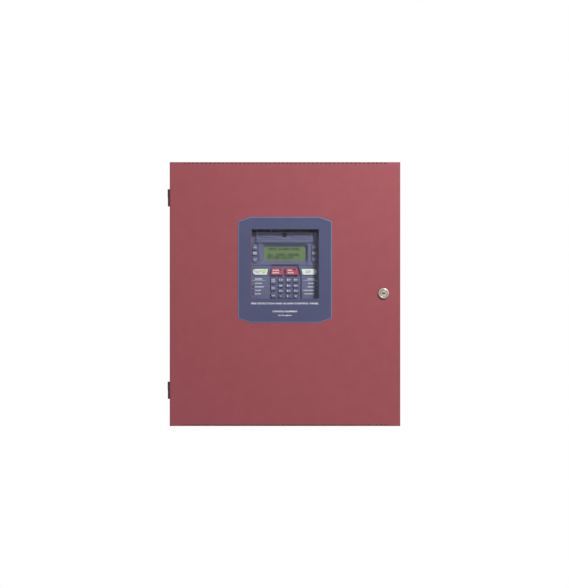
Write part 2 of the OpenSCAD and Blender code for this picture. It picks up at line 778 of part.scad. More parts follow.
// Cranked cam: it points up when unlocked, and its end turns in behind the lip of the box
module lock_cam() color(steel) difference() {
  translate([lock_x, 0, lock_z]) {
    upright(cam_y + cam_t, cam_t) {
      circle(8);
      cam_strip(0, hook_r + cam_t);
    }
    upright(cam_y + cam_t, cam_y + cam_t - hook_y) cam_strip(hook_r, hook_r + cam_t);
    upright(hook_y + cam_t, cam_t) intersection() {
      cam_strip(hook_r, cam_reach);
      circle(cam_reach);
    }
  }
  translate([lock_x, cam_y, lock_z]) cube([plug_tail, 10, plug_tail], center = true);
}

module cam_strip(from, to) {
  translate([-cam_w / 2, from]) square([cam_w, to - from]);
}

module cam_screw() color(steel) difference() {
  union() {
    rod(lock_x, lock_z, cam_y + cam_t + 2.6, 2.6, 9.5);
    rod(lock_x, lock_z, cam_y + cam_t, 7, 4);
  }
  translate([lock_x, cam_y + cam_t + 2.6, lock_z]) cube([6, 2.4, 1], center = true);
}

backbox();
box_hinge_leaves();
hinge_pins();
chassis_plate();
stud_nuts();
standoffs();
main_circuit_board();
board_screws();
terminal_blocks();
relays();
heat_sink();
filter_capacitors();
transformer_core();
transformer_coil();
battery_cases();
battery_terminals();
battery_leads();
ribbon_cable();
module_cover();
display_board();
lcd_glass();
keypad_mat();
indicator_leds();
module_screw();
door_panel();
door_hinge_leaves();
bezel_overlay();
window_lens();
window_retainer();
retainer_nuts();
lock_body();
lock_nut();
lock_plug();
lock_cam();
cam_screw();
key("left_up");  // key_left_up
key("left_middle");  // key_left_middle
key("left_down");  // key_left_down
key("right_up");  // key_right_up
key("right_middle");  // key_right_middle
key("right_down");  // key_right_down
key("acknowledge");  // key_acknowledge
key("silence");  // key_silence
key("drill");  // key_drill
key("reset");  // key_reset
key("function_1");  // key_function_1
key("function_2");  // key_function_2
key("function_3");  // key_function_3
key("1");  // key_1
key("2");  // key_2
key("3");  // key_3
key("4");  // key_4
key("5");  // key_5
key("6");  // key_6
key("7");  // key_7
key("8");  // key_8
key("9");  // key_9
key("star");  // key_star
key("0");  // key_0
key("hash");  // key_hash
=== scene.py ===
# Fire alarm control panel: looks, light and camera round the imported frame
import json
import math

import bpy
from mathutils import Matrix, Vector

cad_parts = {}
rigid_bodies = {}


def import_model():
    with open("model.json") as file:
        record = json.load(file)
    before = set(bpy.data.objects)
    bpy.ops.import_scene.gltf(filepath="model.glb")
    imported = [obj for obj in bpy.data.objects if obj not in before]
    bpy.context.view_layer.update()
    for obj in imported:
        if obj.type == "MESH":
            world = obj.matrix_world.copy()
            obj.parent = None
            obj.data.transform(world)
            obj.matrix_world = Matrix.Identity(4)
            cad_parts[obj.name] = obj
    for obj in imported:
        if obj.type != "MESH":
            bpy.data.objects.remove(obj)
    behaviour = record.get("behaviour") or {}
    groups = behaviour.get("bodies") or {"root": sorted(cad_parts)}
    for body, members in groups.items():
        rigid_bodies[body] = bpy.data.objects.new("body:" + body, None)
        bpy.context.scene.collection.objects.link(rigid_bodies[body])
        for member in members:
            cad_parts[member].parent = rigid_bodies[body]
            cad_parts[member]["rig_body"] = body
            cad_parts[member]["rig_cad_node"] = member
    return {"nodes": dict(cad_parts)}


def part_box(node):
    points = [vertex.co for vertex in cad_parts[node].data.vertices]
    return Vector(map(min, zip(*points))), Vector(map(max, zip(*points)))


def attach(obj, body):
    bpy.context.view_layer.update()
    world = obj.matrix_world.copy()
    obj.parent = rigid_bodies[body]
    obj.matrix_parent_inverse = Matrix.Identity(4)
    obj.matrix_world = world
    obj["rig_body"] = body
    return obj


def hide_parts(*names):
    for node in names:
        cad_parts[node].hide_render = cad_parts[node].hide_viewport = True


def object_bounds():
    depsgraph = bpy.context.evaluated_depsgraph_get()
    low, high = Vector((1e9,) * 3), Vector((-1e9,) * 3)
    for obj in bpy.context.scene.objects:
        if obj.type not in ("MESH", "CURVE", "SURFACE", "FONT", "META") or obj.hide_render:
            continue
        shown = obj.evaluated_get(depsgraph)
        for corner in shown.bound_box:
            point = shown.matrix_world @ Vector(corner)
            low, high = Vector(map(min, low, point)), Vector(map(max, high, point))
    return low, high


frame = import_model()
cadLow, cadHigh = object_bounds()
nodes = frame["nodes"]
print("frame loaded:", len(nodes), "nodes")

mm = 0.001
sharp = math.radians(35)  # an edge that turns more than this is kept sharp
# the capitals' share of the type size, then how thick the ink is and how far it stands out
lettering = {"capShare": 0.72, "inkThick": 0.02, "proud": 0.03}


def clearSelection():
    if bpy.context.mode != "OBJECT":
        bpy.ops.object.mode_set(mode="OBJECT")
    bpy.ops.object.select_all(action="DESELECT")


def takeUp(obj):
    clearSelection()
    obj.select_set(True)
    bpy.context.view_layer.objects.active = obj
    return obj


def settle(obj, name):
    # the object goes back to the origin and its place stays in the mesh
    takeUp(obj)
    bpy.ops.object.transform_apply(location=True, rotation=True, scale=True)
    obj.name = name
    obj.data.name = name
    return obj


def block(name, low, high):
    # low and high are corners in millimetres
    low, high = Vector(low) * mm, Vector(high) * mm
    clearSelection()
    bpy.ops.mesh.primitive_cube_add(size=1, location=(low + high) / 2)
    bpy.context.object.scale = high - low
    return settle(bpy.context.object, name)


def rod(name, x, z, yFront, yBack, diameter, sides=32):
    # a round bar along Y
    clearSelection()
    bpy.ops.mesh.primitive_cylinder_add(
        vertices=sides, radius=diameter / 2 * mm, depth=(yBack - yFront) * mm,
        location=(x * mm, (yFront + yBack) / 2 * mm, z * mm), rotation=(math.radians(90), 0, 0))
    return settle(bpy.context.object, name)


def plate(name, points, yFront, yBack):
    # an upright plate with the outline that the points give, seen from the front
    clearSelection()
    bpy.ops.mesh.primitive_circle_add(vertices=len(points), radius=1, fill_type="NGON")
    obj = settle(bpy.context.object, name)
    for vertex, point in zip(obj.data.vertices, points):
        vertex.co = Vector((point[0], yBack, point[1])) * mm
    bpy.ops.object.mode_set(mode="EDIT")
    bpy.ops.mesh.select_all(action="SELECT")
    bpy.ops.mesh.extrude_region_move(TRANSFORM_OT_translate={"value": (0, (yFront - yBack) * mm, 0)})
    bpy.ops.mesh.select_all(action="SELECT")
    bpy.ops.mesh.normals_make_consistent(inside=False)
    bpy.ops.object.mode_set(mode="OBJECT")
    return obj


def applyModifier(obj, kind, **settings):
    takeUp(obj)
    modifier = obj.modifiers.new(kind.title(), kind)
    for key, value in settings.items():
        setattr(modifier, key, value)
    bpy.ops.object.modifier_apply(modifier=modifier.name)
    return obj


def roundEdges(obj, width, segments=2, angle=sharp):
    return applyModifier(
        obj, "BEVEL", width=width * mm, segments=segments, limit_method="ANGLE", angle_limit=angle,
        use_clamp_overlap=False, miter_outer="MITER_ARC")


def carve(obj, *cutters):
    # a cutter that has a material leaves it on the faces it cuts
    for cutter in cutters:
        applyModifier(obj, "BOOLEAN", operation="DIFFERENCE", object=cutter, solver="EXACT",
                      material_mode="TRANSFER" if cutter.data.materials else "INDEX")
        bpy.data.objects.remove(cutter)
    return obj


def fuse(obj, *others):
    for other in others:
        applyModifier(obj, "BOOLEAN", operation="UNION", object=other, solver="EXACT")
        bpy.data.objects.remove(other)
    return obj


def joinAll(name, pieces):
    clearSelection()
    for piece in pieces:
        piece.select_set(True)
    bpy.context.view_layer.objects.active = pieces[0]
    bpy.ops.object.join()
    pieces[0].name = name
    pieces[0].data.name = name
    return pieces[0]


def paint(obj, *materials):
    obj.data.materials.clear()
    for material in materials:
        obj.data.materials.append(material)
    return obj


def hand(obj, body, slot, *replaced):
    # the last step for every piece: shading, the body it moves with and the nodes it stands for
    takeUp(obj)
    bpy.ops.object.shade_smooth_by_angle(angle=sharp)
    applyModifier(obj, "WEIGHTED_NORMAL", keep_sharp=True)
    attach(obj, body)
    if replaced:
        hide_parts(*replaced)
    return obj


def copyOfNode(node, name, wholeFaces=True):
    # a merged copy of a frame node, with its flat faces made whole unless they have many holes
    takeUp(nodes[node])
    bpy.ops.object.duplicate()
    obj = bpy.context.object
    obj.parent = None
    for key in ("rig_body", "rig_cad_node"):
        if key in obj:
            del obj[key]
    obj.name = name
    bpy.ops.object.mode_set(mode="EDIT")
    bpy.ops.mesh.select_all(action="SELECT")
    bpy.ops.mesh.remove_doubles(threshold=0.002 * mm)
    if wholeFaces:
        bpy.ops.mesh.dissolve_limited(angle_limit=math.radians(0.5))
    bpy.ops.object.mode_set(mode="OBJECT")
    return obj


def boxMm(node):
    low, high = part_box(node)
    return low / mm, high / mm


def pickFaces(obj, test):
    # goes into edit mode with the faces selected whose centre and normal pass the test
    takeUp(obj)
    bpy.ops.object.mode_set(mode="EDIT")
    bpy.ops.mesh.select_mode(type="FACE")
    bpy.ops.mesh.select_all(action="DESELECT")
    bpy.ops.object.mode_set(mode="OBJECT")
    for face in obj.data.polygons:
        face.select = bool(test(face.center / mm, face.normal))
    bpy.ops.object.mode_set(mode="EDIT")


def pickEdges(obj, test):
    # the same for edges, by their two ends in millimetres
    takeUp(obj)
    bpy.ops.object.mode_set(mode="EDIT")
    bpy.ops.mesh.select_mode(type="EDGE")
    bpy.ops.mesh.select_all(action="DESELECT")
    bpy.ops.object.mode_set(mode="OBJECT")
    corners = obj.data.vertices
    for edge in obj.data.edges:
        a, b = (corners[i].co / mm for i in edge.vertices)
        edge.select = bool(test(a, b))
    bpy.ops.object.mode_set(mode="EDIT")


def bevelPicked(width, segments=3):
    bpy.ops.mesh.bevel(offset=width * mm, segments=segments, affect="EDGES", clamp_overlap=False)
    bpy.ops.object.mode_set(mode="OBJECT")


def roundedBlock(name, low, high, radius, segments=5):
    # a block whose four edges along Y are rounded
    obj = block(name, low, high)
    pickEdges(obj, lambda a, b: abs(a.x - b.x) < 0.01 and abs(a.z - b.z) < 0.01)
    bevelPicked(radius, segments)
    return obj


def roundFront(obj, yFront, width, segments=3):
    # rounds the edge of the front face
    pickEdges(obj, lambda a, b: abs(a.y - yFront) < 0.01 and abs(b.y - yFront) < 0.01)
    bevelPicked(width, segments)
    return obj


def lathe(name, profile, x, z, steps=40):
    # turns a profile of (radius, y) points round the line along Y through x and z
    clearSelection()
    bpy.ops.mesh.primitive_circle_add(vertices=len(profile), radius=1, fill_type="NOTHING")
    obj = settle(bpy.context.object, name)
    for vertex, point in zip(obj.data.vertices, profile):
        vertex.co = Vector((x + point[0], point[1], z)) * mm
    first, last = 0, len(profile) - 1
    bpy.ops.object.mode_set(mode="EDIT")
    bpy.ops.mesh.select_mode(type="EDGE")
    bpy.ops.mesh.select_all(action="DESELECT")
    bpy.ops.object.mode_set(mode="OBJECT")
    for edge in obj.data.edges:
        edge.select = set(edge.vertices) == {first, last}
    bpy.ops.object.mode_set(mode="EDIT")
    bpy.ops.mesh.delete(type="EDGE_FACE")
    bpy.ops.mesh.select_all(action="SELECT")
    bpy.ops.mesh.spin(steps=steps, angle=2 * math.pi, center=(x * mm, 0, z * mm), axis=(0, 1, 0))
    bpy.ops.mesh.select_all(action="SELECT")
    bpy.ops.mesh.remove_doubles(threshold=0.003 * mm)
    bpy.ops.mesh.normals_make_consistent(inside=False)
    bpy.ops.object.mode_set(mode="OBJECT")
    return obj


def legend(text, x, z, yFace, capHeight, width=None, align="CENTER", bold=0.03):
    # printed text, raised by the thickness of the ink; width is its whole width, bold a share of its height
    clearSelection()
    bpy.ops.object.text_add(rotation=(math.radians(90), 0, 0))
    obj = bpy.context.object
    obj.data.body = text
    obj.data.size = capHeight / lettering["capShare"] * mm
    obj.data.offset = bold * capHeight * mm
    obj.data.extrude = lettering["inkThick"] * mm
    obj.data.resolution_u = 3
    obj.data.align_x = "LEFT"
    bpy.ops.object.convert(target="MESH")
    settle(obj, "legend")
    xs = [v.co.x for v in obj.data.vertices]
    zs = [v.co.z for v in obj.data.vertices]
    found = (max(xs) - min(xs)) / mm
    stretch = width / found if width else 1
    left = x - found * stretch * {"LEFT": 0, "CENTER": 0.5, "RIGHT": 1}[align]
    obj.scale.x = stretch
    obj.location = (left * mm - min(xs) * stretch, (yFace - lettering["proud"]) * mm,
                    z * mm - (max(zs) + min(zs)) / 2)
    return settle(obj, "legend")


def linear(hexColour):
    channels = [int(hexColour[i:i + 2], 16) / 255 for i in (1, 3, 5)]
    return [c / 12.92 if c <= 0.04045 else ((c + 0.055) / 1.055) ** 2.4 for c in channels] + [1]


def addNode(tree, kind, settings=None, links=None):
    node = tree.nodes.new(kind)
    for key, value in (settings or {}).items():
        if key in node.inputs:
            node.inputs[key].default_value = value
        else:
            setattr(node, key, value)
    for key, source in (links or {}).items():
        tree.links.new(source, node.inputs[key])
    return node


def newMaterial(name):
    material = bpy.data.materials.new(name)
    material.use_nodes = True
    tree = material.node_tree
    tree.nodes.clear()
    place = addNode(tree, "ShaderNodeTexCoord").outputs["Object"]
    return material, tree, place


def close(tree, shader):
    addNode(tree, "ShaderNodeOutputMaterial", links={"Surface": shader.outputs[0]})


def surface(tree, settings, links):
    close(tree, addNode(tree, "ShaderNodeBsdfPrincipled", settings, links))


def twoTone(tree, factor, dark, light, low=0.35, high=0.65):
    # a soft mix of two colours along a pattern's value
    ramp = addNode(tree, "ShaderNodeValToRGB", links={"Fac": factor})
    for element, position, colour in zip(ramp.color_ramp.elements, (low, high), (dark, light)):
        element.position = position
        element.color = linear(colour)
    return ramp.outputs["Color"]


def noise(tree, place, sizeMm, detail=2.0, rough=0.5):
    # one lump of the noise is about sizeMm across
    return addNode(tree, "ShaderNodeTexNoise",
                   {"Scale": 1 / (sizeMm * mm), "Detail": detail, "Roughness": rough},
                   {"Vector": place}).outputs["Fac"]


def spread(tree, value, low, high):
    return addNode(tree, "ShaderNodeMapRange", {"To Min": low, "To Max": high}, {"Value": value}).outputs[0]


def bumpOf(tree, height, depthMm, strength=1.0):
    return addNode(tree, "ShaderNodeBump", {"Strength": strength, "Distance": depthMm * mm},
                   {"Height": height}).outputs["Normal"]


def powderCoat(name, dark, light, roughness):
    # polyester powder coat on steel, sprayed and baked: a fine orange peel and a faint cloudiness
    material, tree, place = newMaterial(name)
    colour = twoTone(tree, noise(tree, place, 22, 3), dark, light)
    peel = noise(tree, place, 1.6)  # orange peel is 1 to 2 mm across
    surface(tree, {"IOR": 1.5, "Specular IOR Level": 0.4},
            {"Base Color": colour, "Normal": bumpOf(tree, peel, 0.05, 0.35),
             "Roughness": spread(tree, noise(tree, place, 9), roughness - 0.05, roughness + 0.06)})
    return material


def mouldedPlastic(name, dark, light, roughness, grain=0.35, depth=0.02):
    # plastic from a spark eroded mould: an even fine grain that kills the gloss
    material, tree, place = newMaterial(name)
    surface(tree, {"IOR": 1.53, "Specular IOR Level": 0.35},
            {"Base Color": twoTone(tree, noise(tree, place, 7), dark, light),
             "Roughness": spread(tree, noise(tree, place, 2.5), roughness - 0.05, roughness + 0.05),
             "Normal": bumpOf(tree, noise(tree, place, grain, 1), depth, 0.5)})
    return material


def platedSteel(name, dark, light, roughness, lumpMm, depth=0.01):
    # electroplate over turned or pressed metal: cloudy patches and hair fine scratches
    material, tree, place = newMaterial(name)
    stretched = addNode(tree, "ShaderNodeMapping", {"Scale": (0.15, 1, 1)}, {"Vector": place}).outputs[0]
    hair = noise(tree, stretched, 0.5, 3)
    surface(tree, {"Metallic": 1.0},
            {"Base Color": twoTone(tree, noise(tree, place, lumpMm, 4, 0.6), dark, light),
             "Roughness": spread(tree, hair, roughness - 0.08, roughness + 0.1),
             "Normal": bumpOf(tree, hair, depth, 0.3)})
    return material


def printedFilm(name, dark, light):
    # polycarbonate film printed on its back, with a fine satin face
    material, tree, place = newMaterial(name)
    surface(tree, {"IOR": 1.58, "Specular IOR Level": 0.4, "Roughness": 0.38},
            {"Base Color": twoTone(tree, noise(tree, place, 30), dark, light),
             "Normal": bumpOf(tree, noise(tree, place, 0.4, 1), 0.01, 0.3)})
    return material


def inkOf(name, dark, light):
    # screen printed ink: flat, a little uneven in its cover
    material, tree, place = newMaterial(name)
    surface(tree, {"Roughness": 0.55, "IOR": 1.5},
            {"Base Color": twoTone(tree, noise(tree, place, 1.2), dark, light)})
    return material


def tintedEpoxy(name, dark, light, glow):
    # a cast epoxy lamp: glossy, and it gives off a little light when lit
    material, tree, place = newMaterial(name)
    colour = twoTone(tree, noise(tree, place, 1.5, 1), dark, light)
    surface(tree, {"Roughness": 0.12, "IOR": 1.55, "Emission Strength": glow},
            {"Base Color": colour, "Emission Color": colour})
    return material


def clearSheet(name):
    # flat cast polycarbonate: it shows by a faint reflection that grows at a slant, and a faint cool tint
    material, tree, place = newMaterial(name)
    slant = addNode(tree, "ShaderNodeLayerWeight", {"Blend": 0.05}).outputs["Facing"]
    through = addNode(tree, "ShaderNodeBsdfTransparent", {"Color": (0.97, 0.98, 0.99, 1)})
    haze = spread(tree, noise(tree, place, 40), 0.02, 0.05)
    shine = addNode(tree, "ShaderNodeBsdfGlossy", {}, {"Roughness": haze})
    share = spread(tree, slant, 0.012, 0.6)
    close(tree, addNode(tree, "ShaderNodeMixShader", {},
                        {0: share, 1: through.outputs[0], 2: shine.outputs[0]}))
    return material


def displayGlass(name, dark, light):
    # the polariser of a backlit display, with the faint patches of its light
    material, tree, place = newMaterial(name)
    tone = twoTone(tree, noise(tree, place, 14), dark, light)
    surface(tree, {"Roughness": 0.2, "IOR": 1.5, "Emission Strength": 0.1},
            {"Base Color": tone, "Emission Color": tone})
    return material


def laminated(name, dark, light):
    # stacked silicon steel sheets in varnish, with dark lines between them, coarser than the real ones
    material, tree, place = newMaterial(name)
    bands = {"wave_type": "BANDS", "bands_direction": "Y", "Scale": 160, "Distortion": 0.4, "Detail": 1}
    sheets = addNode(tree, "ShaderNodeTexWave", bands, {"Vector": place}).outputs["Fac"]
    surface(tree, {"Metallic": 0.7, "Roughness": 0.5},
            {"Base Color": twoTone(tree, sheets, dark, light, 0.1, 0.6),
             "Normal": bumpOf(tree, sheets, 0.2, 0.6)})
    return material


redCoat = powderCoat("red_powder_coat", "#94464E", "#964950", 0.5)
# painted shade: the vent slots' cut walls are coloured near black for the shadow inside them; the real cut
# edges are the same red
slotPaintedShade = powderCoat("painted_shade_in_slots", "#2A2226", "#32282C", 0.7)
# painted shade: the hinges carry the door's red, darkened for the door's shadow that falls over them
hingeRedWithPaintedShade = powderCoat("hinge_red_with_painted_shade", "#57343C", "#5D3A42", 0.5)
zincSteel = platedSteel("bright_zinc_plate", "#B1B3B3", "#BFC0BE", 0.36, 12)
nickelSteel = platedSteel("satin_nickel_plate", "#A39D92", "#BDB8AE", 0.37, 5)
# black oxide steel for the module screw; in the lock's keyway the same colour is painted shade
blackSteelAndKeywayShade = platedSteel("black_oxide_steel_and_keyway_shade", "#2B2B2E", "#37373B", 0.4, 4)
coverPlastic = mouldedPlastic("slate_moulded_abs", "#67688A", "#6B6C8B", 0.5)
keyGreyPlastic = mouldedPlastic("slate_key_abs", "#6A6B8B", "#6F708F", 0.45, 0.3)
keyRedPlastic = mouldedPlastic("red_key_abs", "#BE4A5C", "#C24F60", 0.42, 0.3)
keyWhitePlastic = mouldedPlastic("ivory_key_abs", "#F4F4EA", "#F7F7EF", 0.42, 0.3)
blackPlastic = mouldedPlastic("black_moulded_abs", "#232326", "#2C2C30", 0.45, 0.6, 0.03)
greenPlastic = mouldedPlastic("green_polyamide", "#1F6B3E", "#277A48", 0.42)
rubberMat = mouldedPlastic("grey_silicone_rubber", "#3D3D44", "#45454D", 0.7)
circuitBoard = mouldedPlastic("green_solder_mask", "#1C5A34", "#236B3F", 0.25)
yellowTape = mouldedPlastic("yellow_polyester_tape", "#C9A94A", "#D8BC5E", 0.35)
filmBlue = printedFilm("blue_printed_film", "#434869", "#464B6D")
# painted highlight: a lighter blue for the film's rim and rounded edge, for the light they catch
filmEdgePaintedHighlight = printedFilm("film_edge_painted_highlight", "#5F7BA2", "#6480A6")
whiteInk = inkOf("white_screen_ink", "#E6E6E8", "#F2F2F2")
greyInk = inkOf("grey_screen_ink", "#9A9AA4", "#A8A8B0")
darkInk = inkOf("dark_display_ink", "#0A0D07", "#0E120A")
faintInk = inkOf("display_character_shadow", "#1C2415", "#222B1A")
greenLamp = tintedEpoxy("lit_green_epoxy", "#8CB52A", "#A6C83A", 0.7)
yellowLamp = tintedEpoxy("lit_yellow_green_epoxy", "#8F9A3C", "#A3AC48", 0.35)
darkLamp = tintedEpoxy("unlit_epoxy", "#33333C", "#3B3B44", 0.0)
clearLens = clearSheet("clear_polycarbonate")
displayGreen = displayGlass("green_display_glass", "#5F7646", "#647B4A")
bluePlastic = mouldedPlastic("blue_relay_pbt", "#2A3F78", "#304787", 0.35)
batteryPlastic = mouldedPlastic("charcoal_battery_abs", "#303136", "#37383E", 0.5, 0.8, 0.03)
blackAluminium = platedSteel("black_anodised_aluminium", "#26272A", "#303135", 0.42, 6)
aluminium = platedSteel("drawn_aluminium", "#B4B6B8", "#CFD0D2", 0.3, 4)
blueSleeve = mouldedPlastic("dark_blue_shrink_sleeve", "#27345E", "#2D3B69", 0.3, 0.6, 0.01)
redSleeve = mouldedPlastic("red_pvc_sleeve", "#B22A2C", "#BC3436", 0.4)
blackSleeve = mouldedPlastic("black_pvc_sleeve", "#1E1E20", "#27272A", 0.4)
ribbonGrey = mouldedPlastic("grey_pvc_ribbon", "#9C9CA2", "#A6A6AC", 0.45)
darkPaint = inkOf("dark_label_ink", "#26262A", "#303034")
copperTrace = mouldedPlastic("green_covered_copper", "#2E7A49", "#348352", 0.25)
laminatedSteel = laminated("laminated_core_steel", "#3F4044", "#6A6B6E")
print("materials made")

windowLow, windowHigh = boxMm("window_lens")
windowZ = (windowLow.z + windowHigh.z) / 2

door = {
    "steel": 1.5, "bend": 2.0, "window": (125.5, 128.5), "windowLeftStep": 0.8, "windowCorner": 1.0,
    "slots": 48, "slotPitch": 7.92, "slotSize": (4.2, 2.8), "slotDepth": 5, "lockHole": 19.2,
    # the studs that hold the lens: from the window's edge, and along its sides and ends as shares of its size
    "studFromEdge": 15, "studUp": (-0.5, 0.5), "studAcross": (-0.3, 0.3), "studs": 3.0, "studLength": 8.4,
    "studChamfer": 0.35,
}


def lockCentre():
    low, high = boxMm("lock_body")
    return (low.x + high.x) / 2, (low.z + high.z) / 2


def retainerPlaces():
    wide, tall = door["window"]
    across, up = wide / 2 + door["studFromEdge"], tall / 2 + door["studFromEdge"]
    sides = [(s * across, windowZ + share * tall) for s in (-1, 1) for share in door["studUp"]]
    ends = [(share * wide, windowZ + s * up) for s in (-1, 1) for share in door["studAcross"]]
    return sides + ends


def makeDoor():
    low, high = boxMm("door_panel")
    skin = block("door_skin", low, high)
    pickFaces(skin, lambda centre, normal: normal.y > 0.9)
    bpy.ops.mesh.delete(type="ONLY_FACE")
    bpy.ops.object.mode_set(mode="OBJECT")
    roundFront(skin, low.y, door["bend"], 4)
    applyModifier(skin, "SOLIDIFY", thickness=door["steel"] * mm, offset=-1, use_even_offset=True)
    wide, tall = door["window"]
    left = door["windowLeftStep"] - wide / 2
    carve(skin, roundedBlock("cut", (left, low.y - 2, windowZ - tall / 2),
                             (wide / 2, low.y + 4, windowZ + tall / 2), door["windowCorner"]))
    lockX, lockZ = lockCentre()
    carve(skin, rod("cut", lockX, lockZ, low.y - 2, low.y + 5, door["lockHole"]))
    slotWide, slotTall = door["slotSize"]
    first = -(door["slots"] - 1) / 2 * door["slotPitch"]
    paint(skin, redCoat)
    for edge, side in ((high.z, 1), (low.z, -1)):
        bottom, top = sorted((edge - side * slotTall, edge + side * 2))
        cutter = block("cut", (first - slotWide / 2, low.y - 1, bottom),
                       (first + slotWide / 2, low.y + door["slotDepth"], top))
        applyModifier(cutter, "ARRAY", count=door["slots"], use_relative_offset=False,
                      use_constant_offset=True, constant_offset_displace=(door["slotPitch"] * mm, 0, 0))
        # the slots' cut walls take the painted shade colour
        carve(skin, paint(cutter, slotPaintedShade))
    studs = []
    for x, z in retainerPlaces():
        root = low.y + door["steel"]
        stud = rod("stud", x, z, root - 0.2, root + door["studLength"], door["studs"], 20)
        studs.append(paint(roundEdges(stud, door["studChamfer"], 1), zincSteel))
    joinAll("door_skin", [skin] + studs)
    hand(skin, "door", "red_paint", "door_panel")


makeDoor()

bezel = {
    "cut": (23, 8), "rim": 0.9, "edge": 0.35,
    # text, distance below the middle of the window, cap height, width, shift of its two prints
    "words": (("FIRE DETECTION AND ALARM CONTROL PANEL", 73.2, 3.3, 125.2, 0.13),
              ("CONTROL EQUIPMENT", 88.2, 3.0, 46, 0.14),
              ("for fire alarms", 95.0, 2.9, 24, 0.1)),
    "secondPrint": 0.004,  # how much lower the second print lies
}


def makeBezel():
    low, high = boxMm("bezel_overlay")
    cutX, cutZ = bezel["cut"]
    corners = [
        (low.x, low.z + cutZ), (low.x + cutX, low.z), (high.x - cutX, low.z), (high.x, low.z + cutZ),
        (high.x, high.z - cutZ), (high.x - cutX, high.z), (low.x + cutX, high.z), (low.x, high.z - cutZ)]
    face = plate("faceplate", corners, low.y, high.y)
    paint(face, filmBlue, filmEdgePaintedHighlight)
    roundFront(face, low.y, bezel["edge"], 2)
    pickFaces(face, lambda centre, normal: normal.y < -0.99)
    bpy.ops.mesh.inset(thickness=bezel["rim"] * mm)
    bpy.ops.object.mode_set(mode="OBJECT")
    # the flat front keeps the film's blue; the rim and the rounded edge take the painted highlight blue
    for part in face.data.polygons:
        flatFront = part.normal.y < -0.99
        part.material_index = 0 if flatFront and len(part.vertices) == len(corners) else 1
    wide, tall = door["window"]
    carve(face, roundedBlock("cut", (-wide / 2, low.y - 2, windowZ - tall / 2),
                             (wide / 2, high.y + 1, windowZ + tall / 2), door["windowCorner"]))
    hand(face, "door", "blue_overlay", "bezel_overlay")
    # each line is printed twice, a little aside, which thickens its strokes
    words = [legend(text, aside, windowZ - below, low.y + lift, tall, wide, bold=0)
             for text, below, tall, wide, shift in bezel["words"]
             for aside, lift in ((-shift, 0), (shift, bezel["secondPrint"]))]
    hand(paint(joinAll("faceplate_lettering", words), whiteInk), "door", "blue_overlay")


makeBezel()
print("door and faceplate made")


def repeat(obj, shifts):
    # the piece and its copies, each with its own mesh, moved by the shifts in millimetres
    pieces = [obj]
    for shift in shifts:
        takeUp(obj)
        bpy.ops.object.duplicate()
        copy = bpy.context.object
        copy.location = Vector(shift) * mm
        pieces.append(settle(copy, obj.name))
    return pieces


def soften(node, material, body, slot, width=0.25, segments=2):
    # a frame node whose shape is right, with its sharp edges broken
    piece = copyOfNode(node, node + "_finished")
    roundEdges(piece, width, segments)
    return hand(paint(piece, material), body, slot, node)


coverFace = -120  # the module cover's flat front

cover = {
    "hoodFace": -123, "corner": 4, "edge": 0.22,
    # rectangles from the middle of the window: left, low, right, high
    "bevelFront": (-43.9, 0.9, 42.6, 38.8), "glass": (-38.7, 7.4, 37.4, 31.4), "glassBehind": 6,
    "scoops": (-29.2, 26.7), "scoopUp": 51.2, "scoopSize": (39, 5.6, 2.8),
    "steps": ((45.7, 42.6), (41.7, 39.9)), "stepDepth": 0.7, "hoodSpan": (-53.6, 51.7),
    "ribs": (-57.6, -54.9, 52.7, 55.4, 58.1), "ribSpan": (41.6, 57.4), "ribSize": (1.0, 0.9),
    "ribCorner": 0.4,
    "grooveUp": (-4.9, -2.6), "grooveDepth": 0.9, "grooves": ((-71, -26.5), (27, 71)),
    "pockets": ("left_up", "left_middle", "left_down", "right_up", "right_middle", "right_down",
                "acknowledge", "reset"),
    "pocketDepth": 1.3, "pocketMargin": 1.1, "keyFlange": 0.8,  # the flange is hidden behind the cover
}
lamps = {
    "labelUp": (-36.2, -42.3, -49.2, -55.7), "labelAcross": (-59.8, 58.2), "labelSize": 2.4,
    "labelFront": -120.6, "keyFront": -121, "crown": 0.46,
    "keyLamps": ((-39.3, -14.1, 5.4), (-9.4, -10.6, 2.6), (17.6, -10.3, 2.6)),
}


def frustum(name, front, back, yFront, yBack, radius):
    # a cutter that narrows from one rectangle (left, low, right, high) to another, with rounded corners
    obj = roundedBlock(name, (back[0], yFront, back[1]), (back[2], yBack, back[3]), radius, 6)
    for vertex in obj.data.vertices:
        if vertex.co.y < (yFront + 0.01) * mm:
            for axis, i in ((0, 0), (2, 1)):
                along = (vertex.co[axis] / mm - back[i]) / (back[i + 2] - back[i])
                vertex.co[axis] = (front[i] + along * (front[i + 2] - front[i])) * mm
    return obj


def atWindow(rect):
    # a rectangle given from the middle of the window, in the frame's own heights
    return rect[0], rect[1] + windowZ, rect[2], rect[3] + windowZ


def keyPocket(node):
    # the shallow recess round a key: its front face made wider and pushed back past the cover's face
    low, high = boxMm(node)
    depth = coverFace + cover["pocketDepth"] - low.y
    cutter = copyOfNode(node, "cut")
    pickFaces(cutter, lambda centre, normal: normal.y > -0.9)
    bpy.ops.mesh.delete(type="FACE")
    bpy.ops.mesh.select_all(action="SELECT")
    bpy.ops.mesh.extrude_region_move(TRANSFORM_OT_translate={"value": (0, depth * mm, 0)})
    bpy.ops.mesh.select_all(action="SELECT")
    bpy.ops.mesh.normals_make_consistent(inside=False)
    bpy.ops.object.mode_set(mode="OBJECT")
    grow = 2 * (cover["pocketMargin"] - cover["keyFlange"])
    for axis in (0, 2):
        values = [vertex.co[axis] for vertex in cutter.data.vertices]
        middle, size = (min(values) + max(values)) / 2, max(values) - min(values)
        factor = (high[axis] - low[axis] + grow) * mm / size
        for vertex in cutter.data.vertices:
            vertex.co[axis] = middle + (vertex.co[axis] - middle) * factor
    return cutter


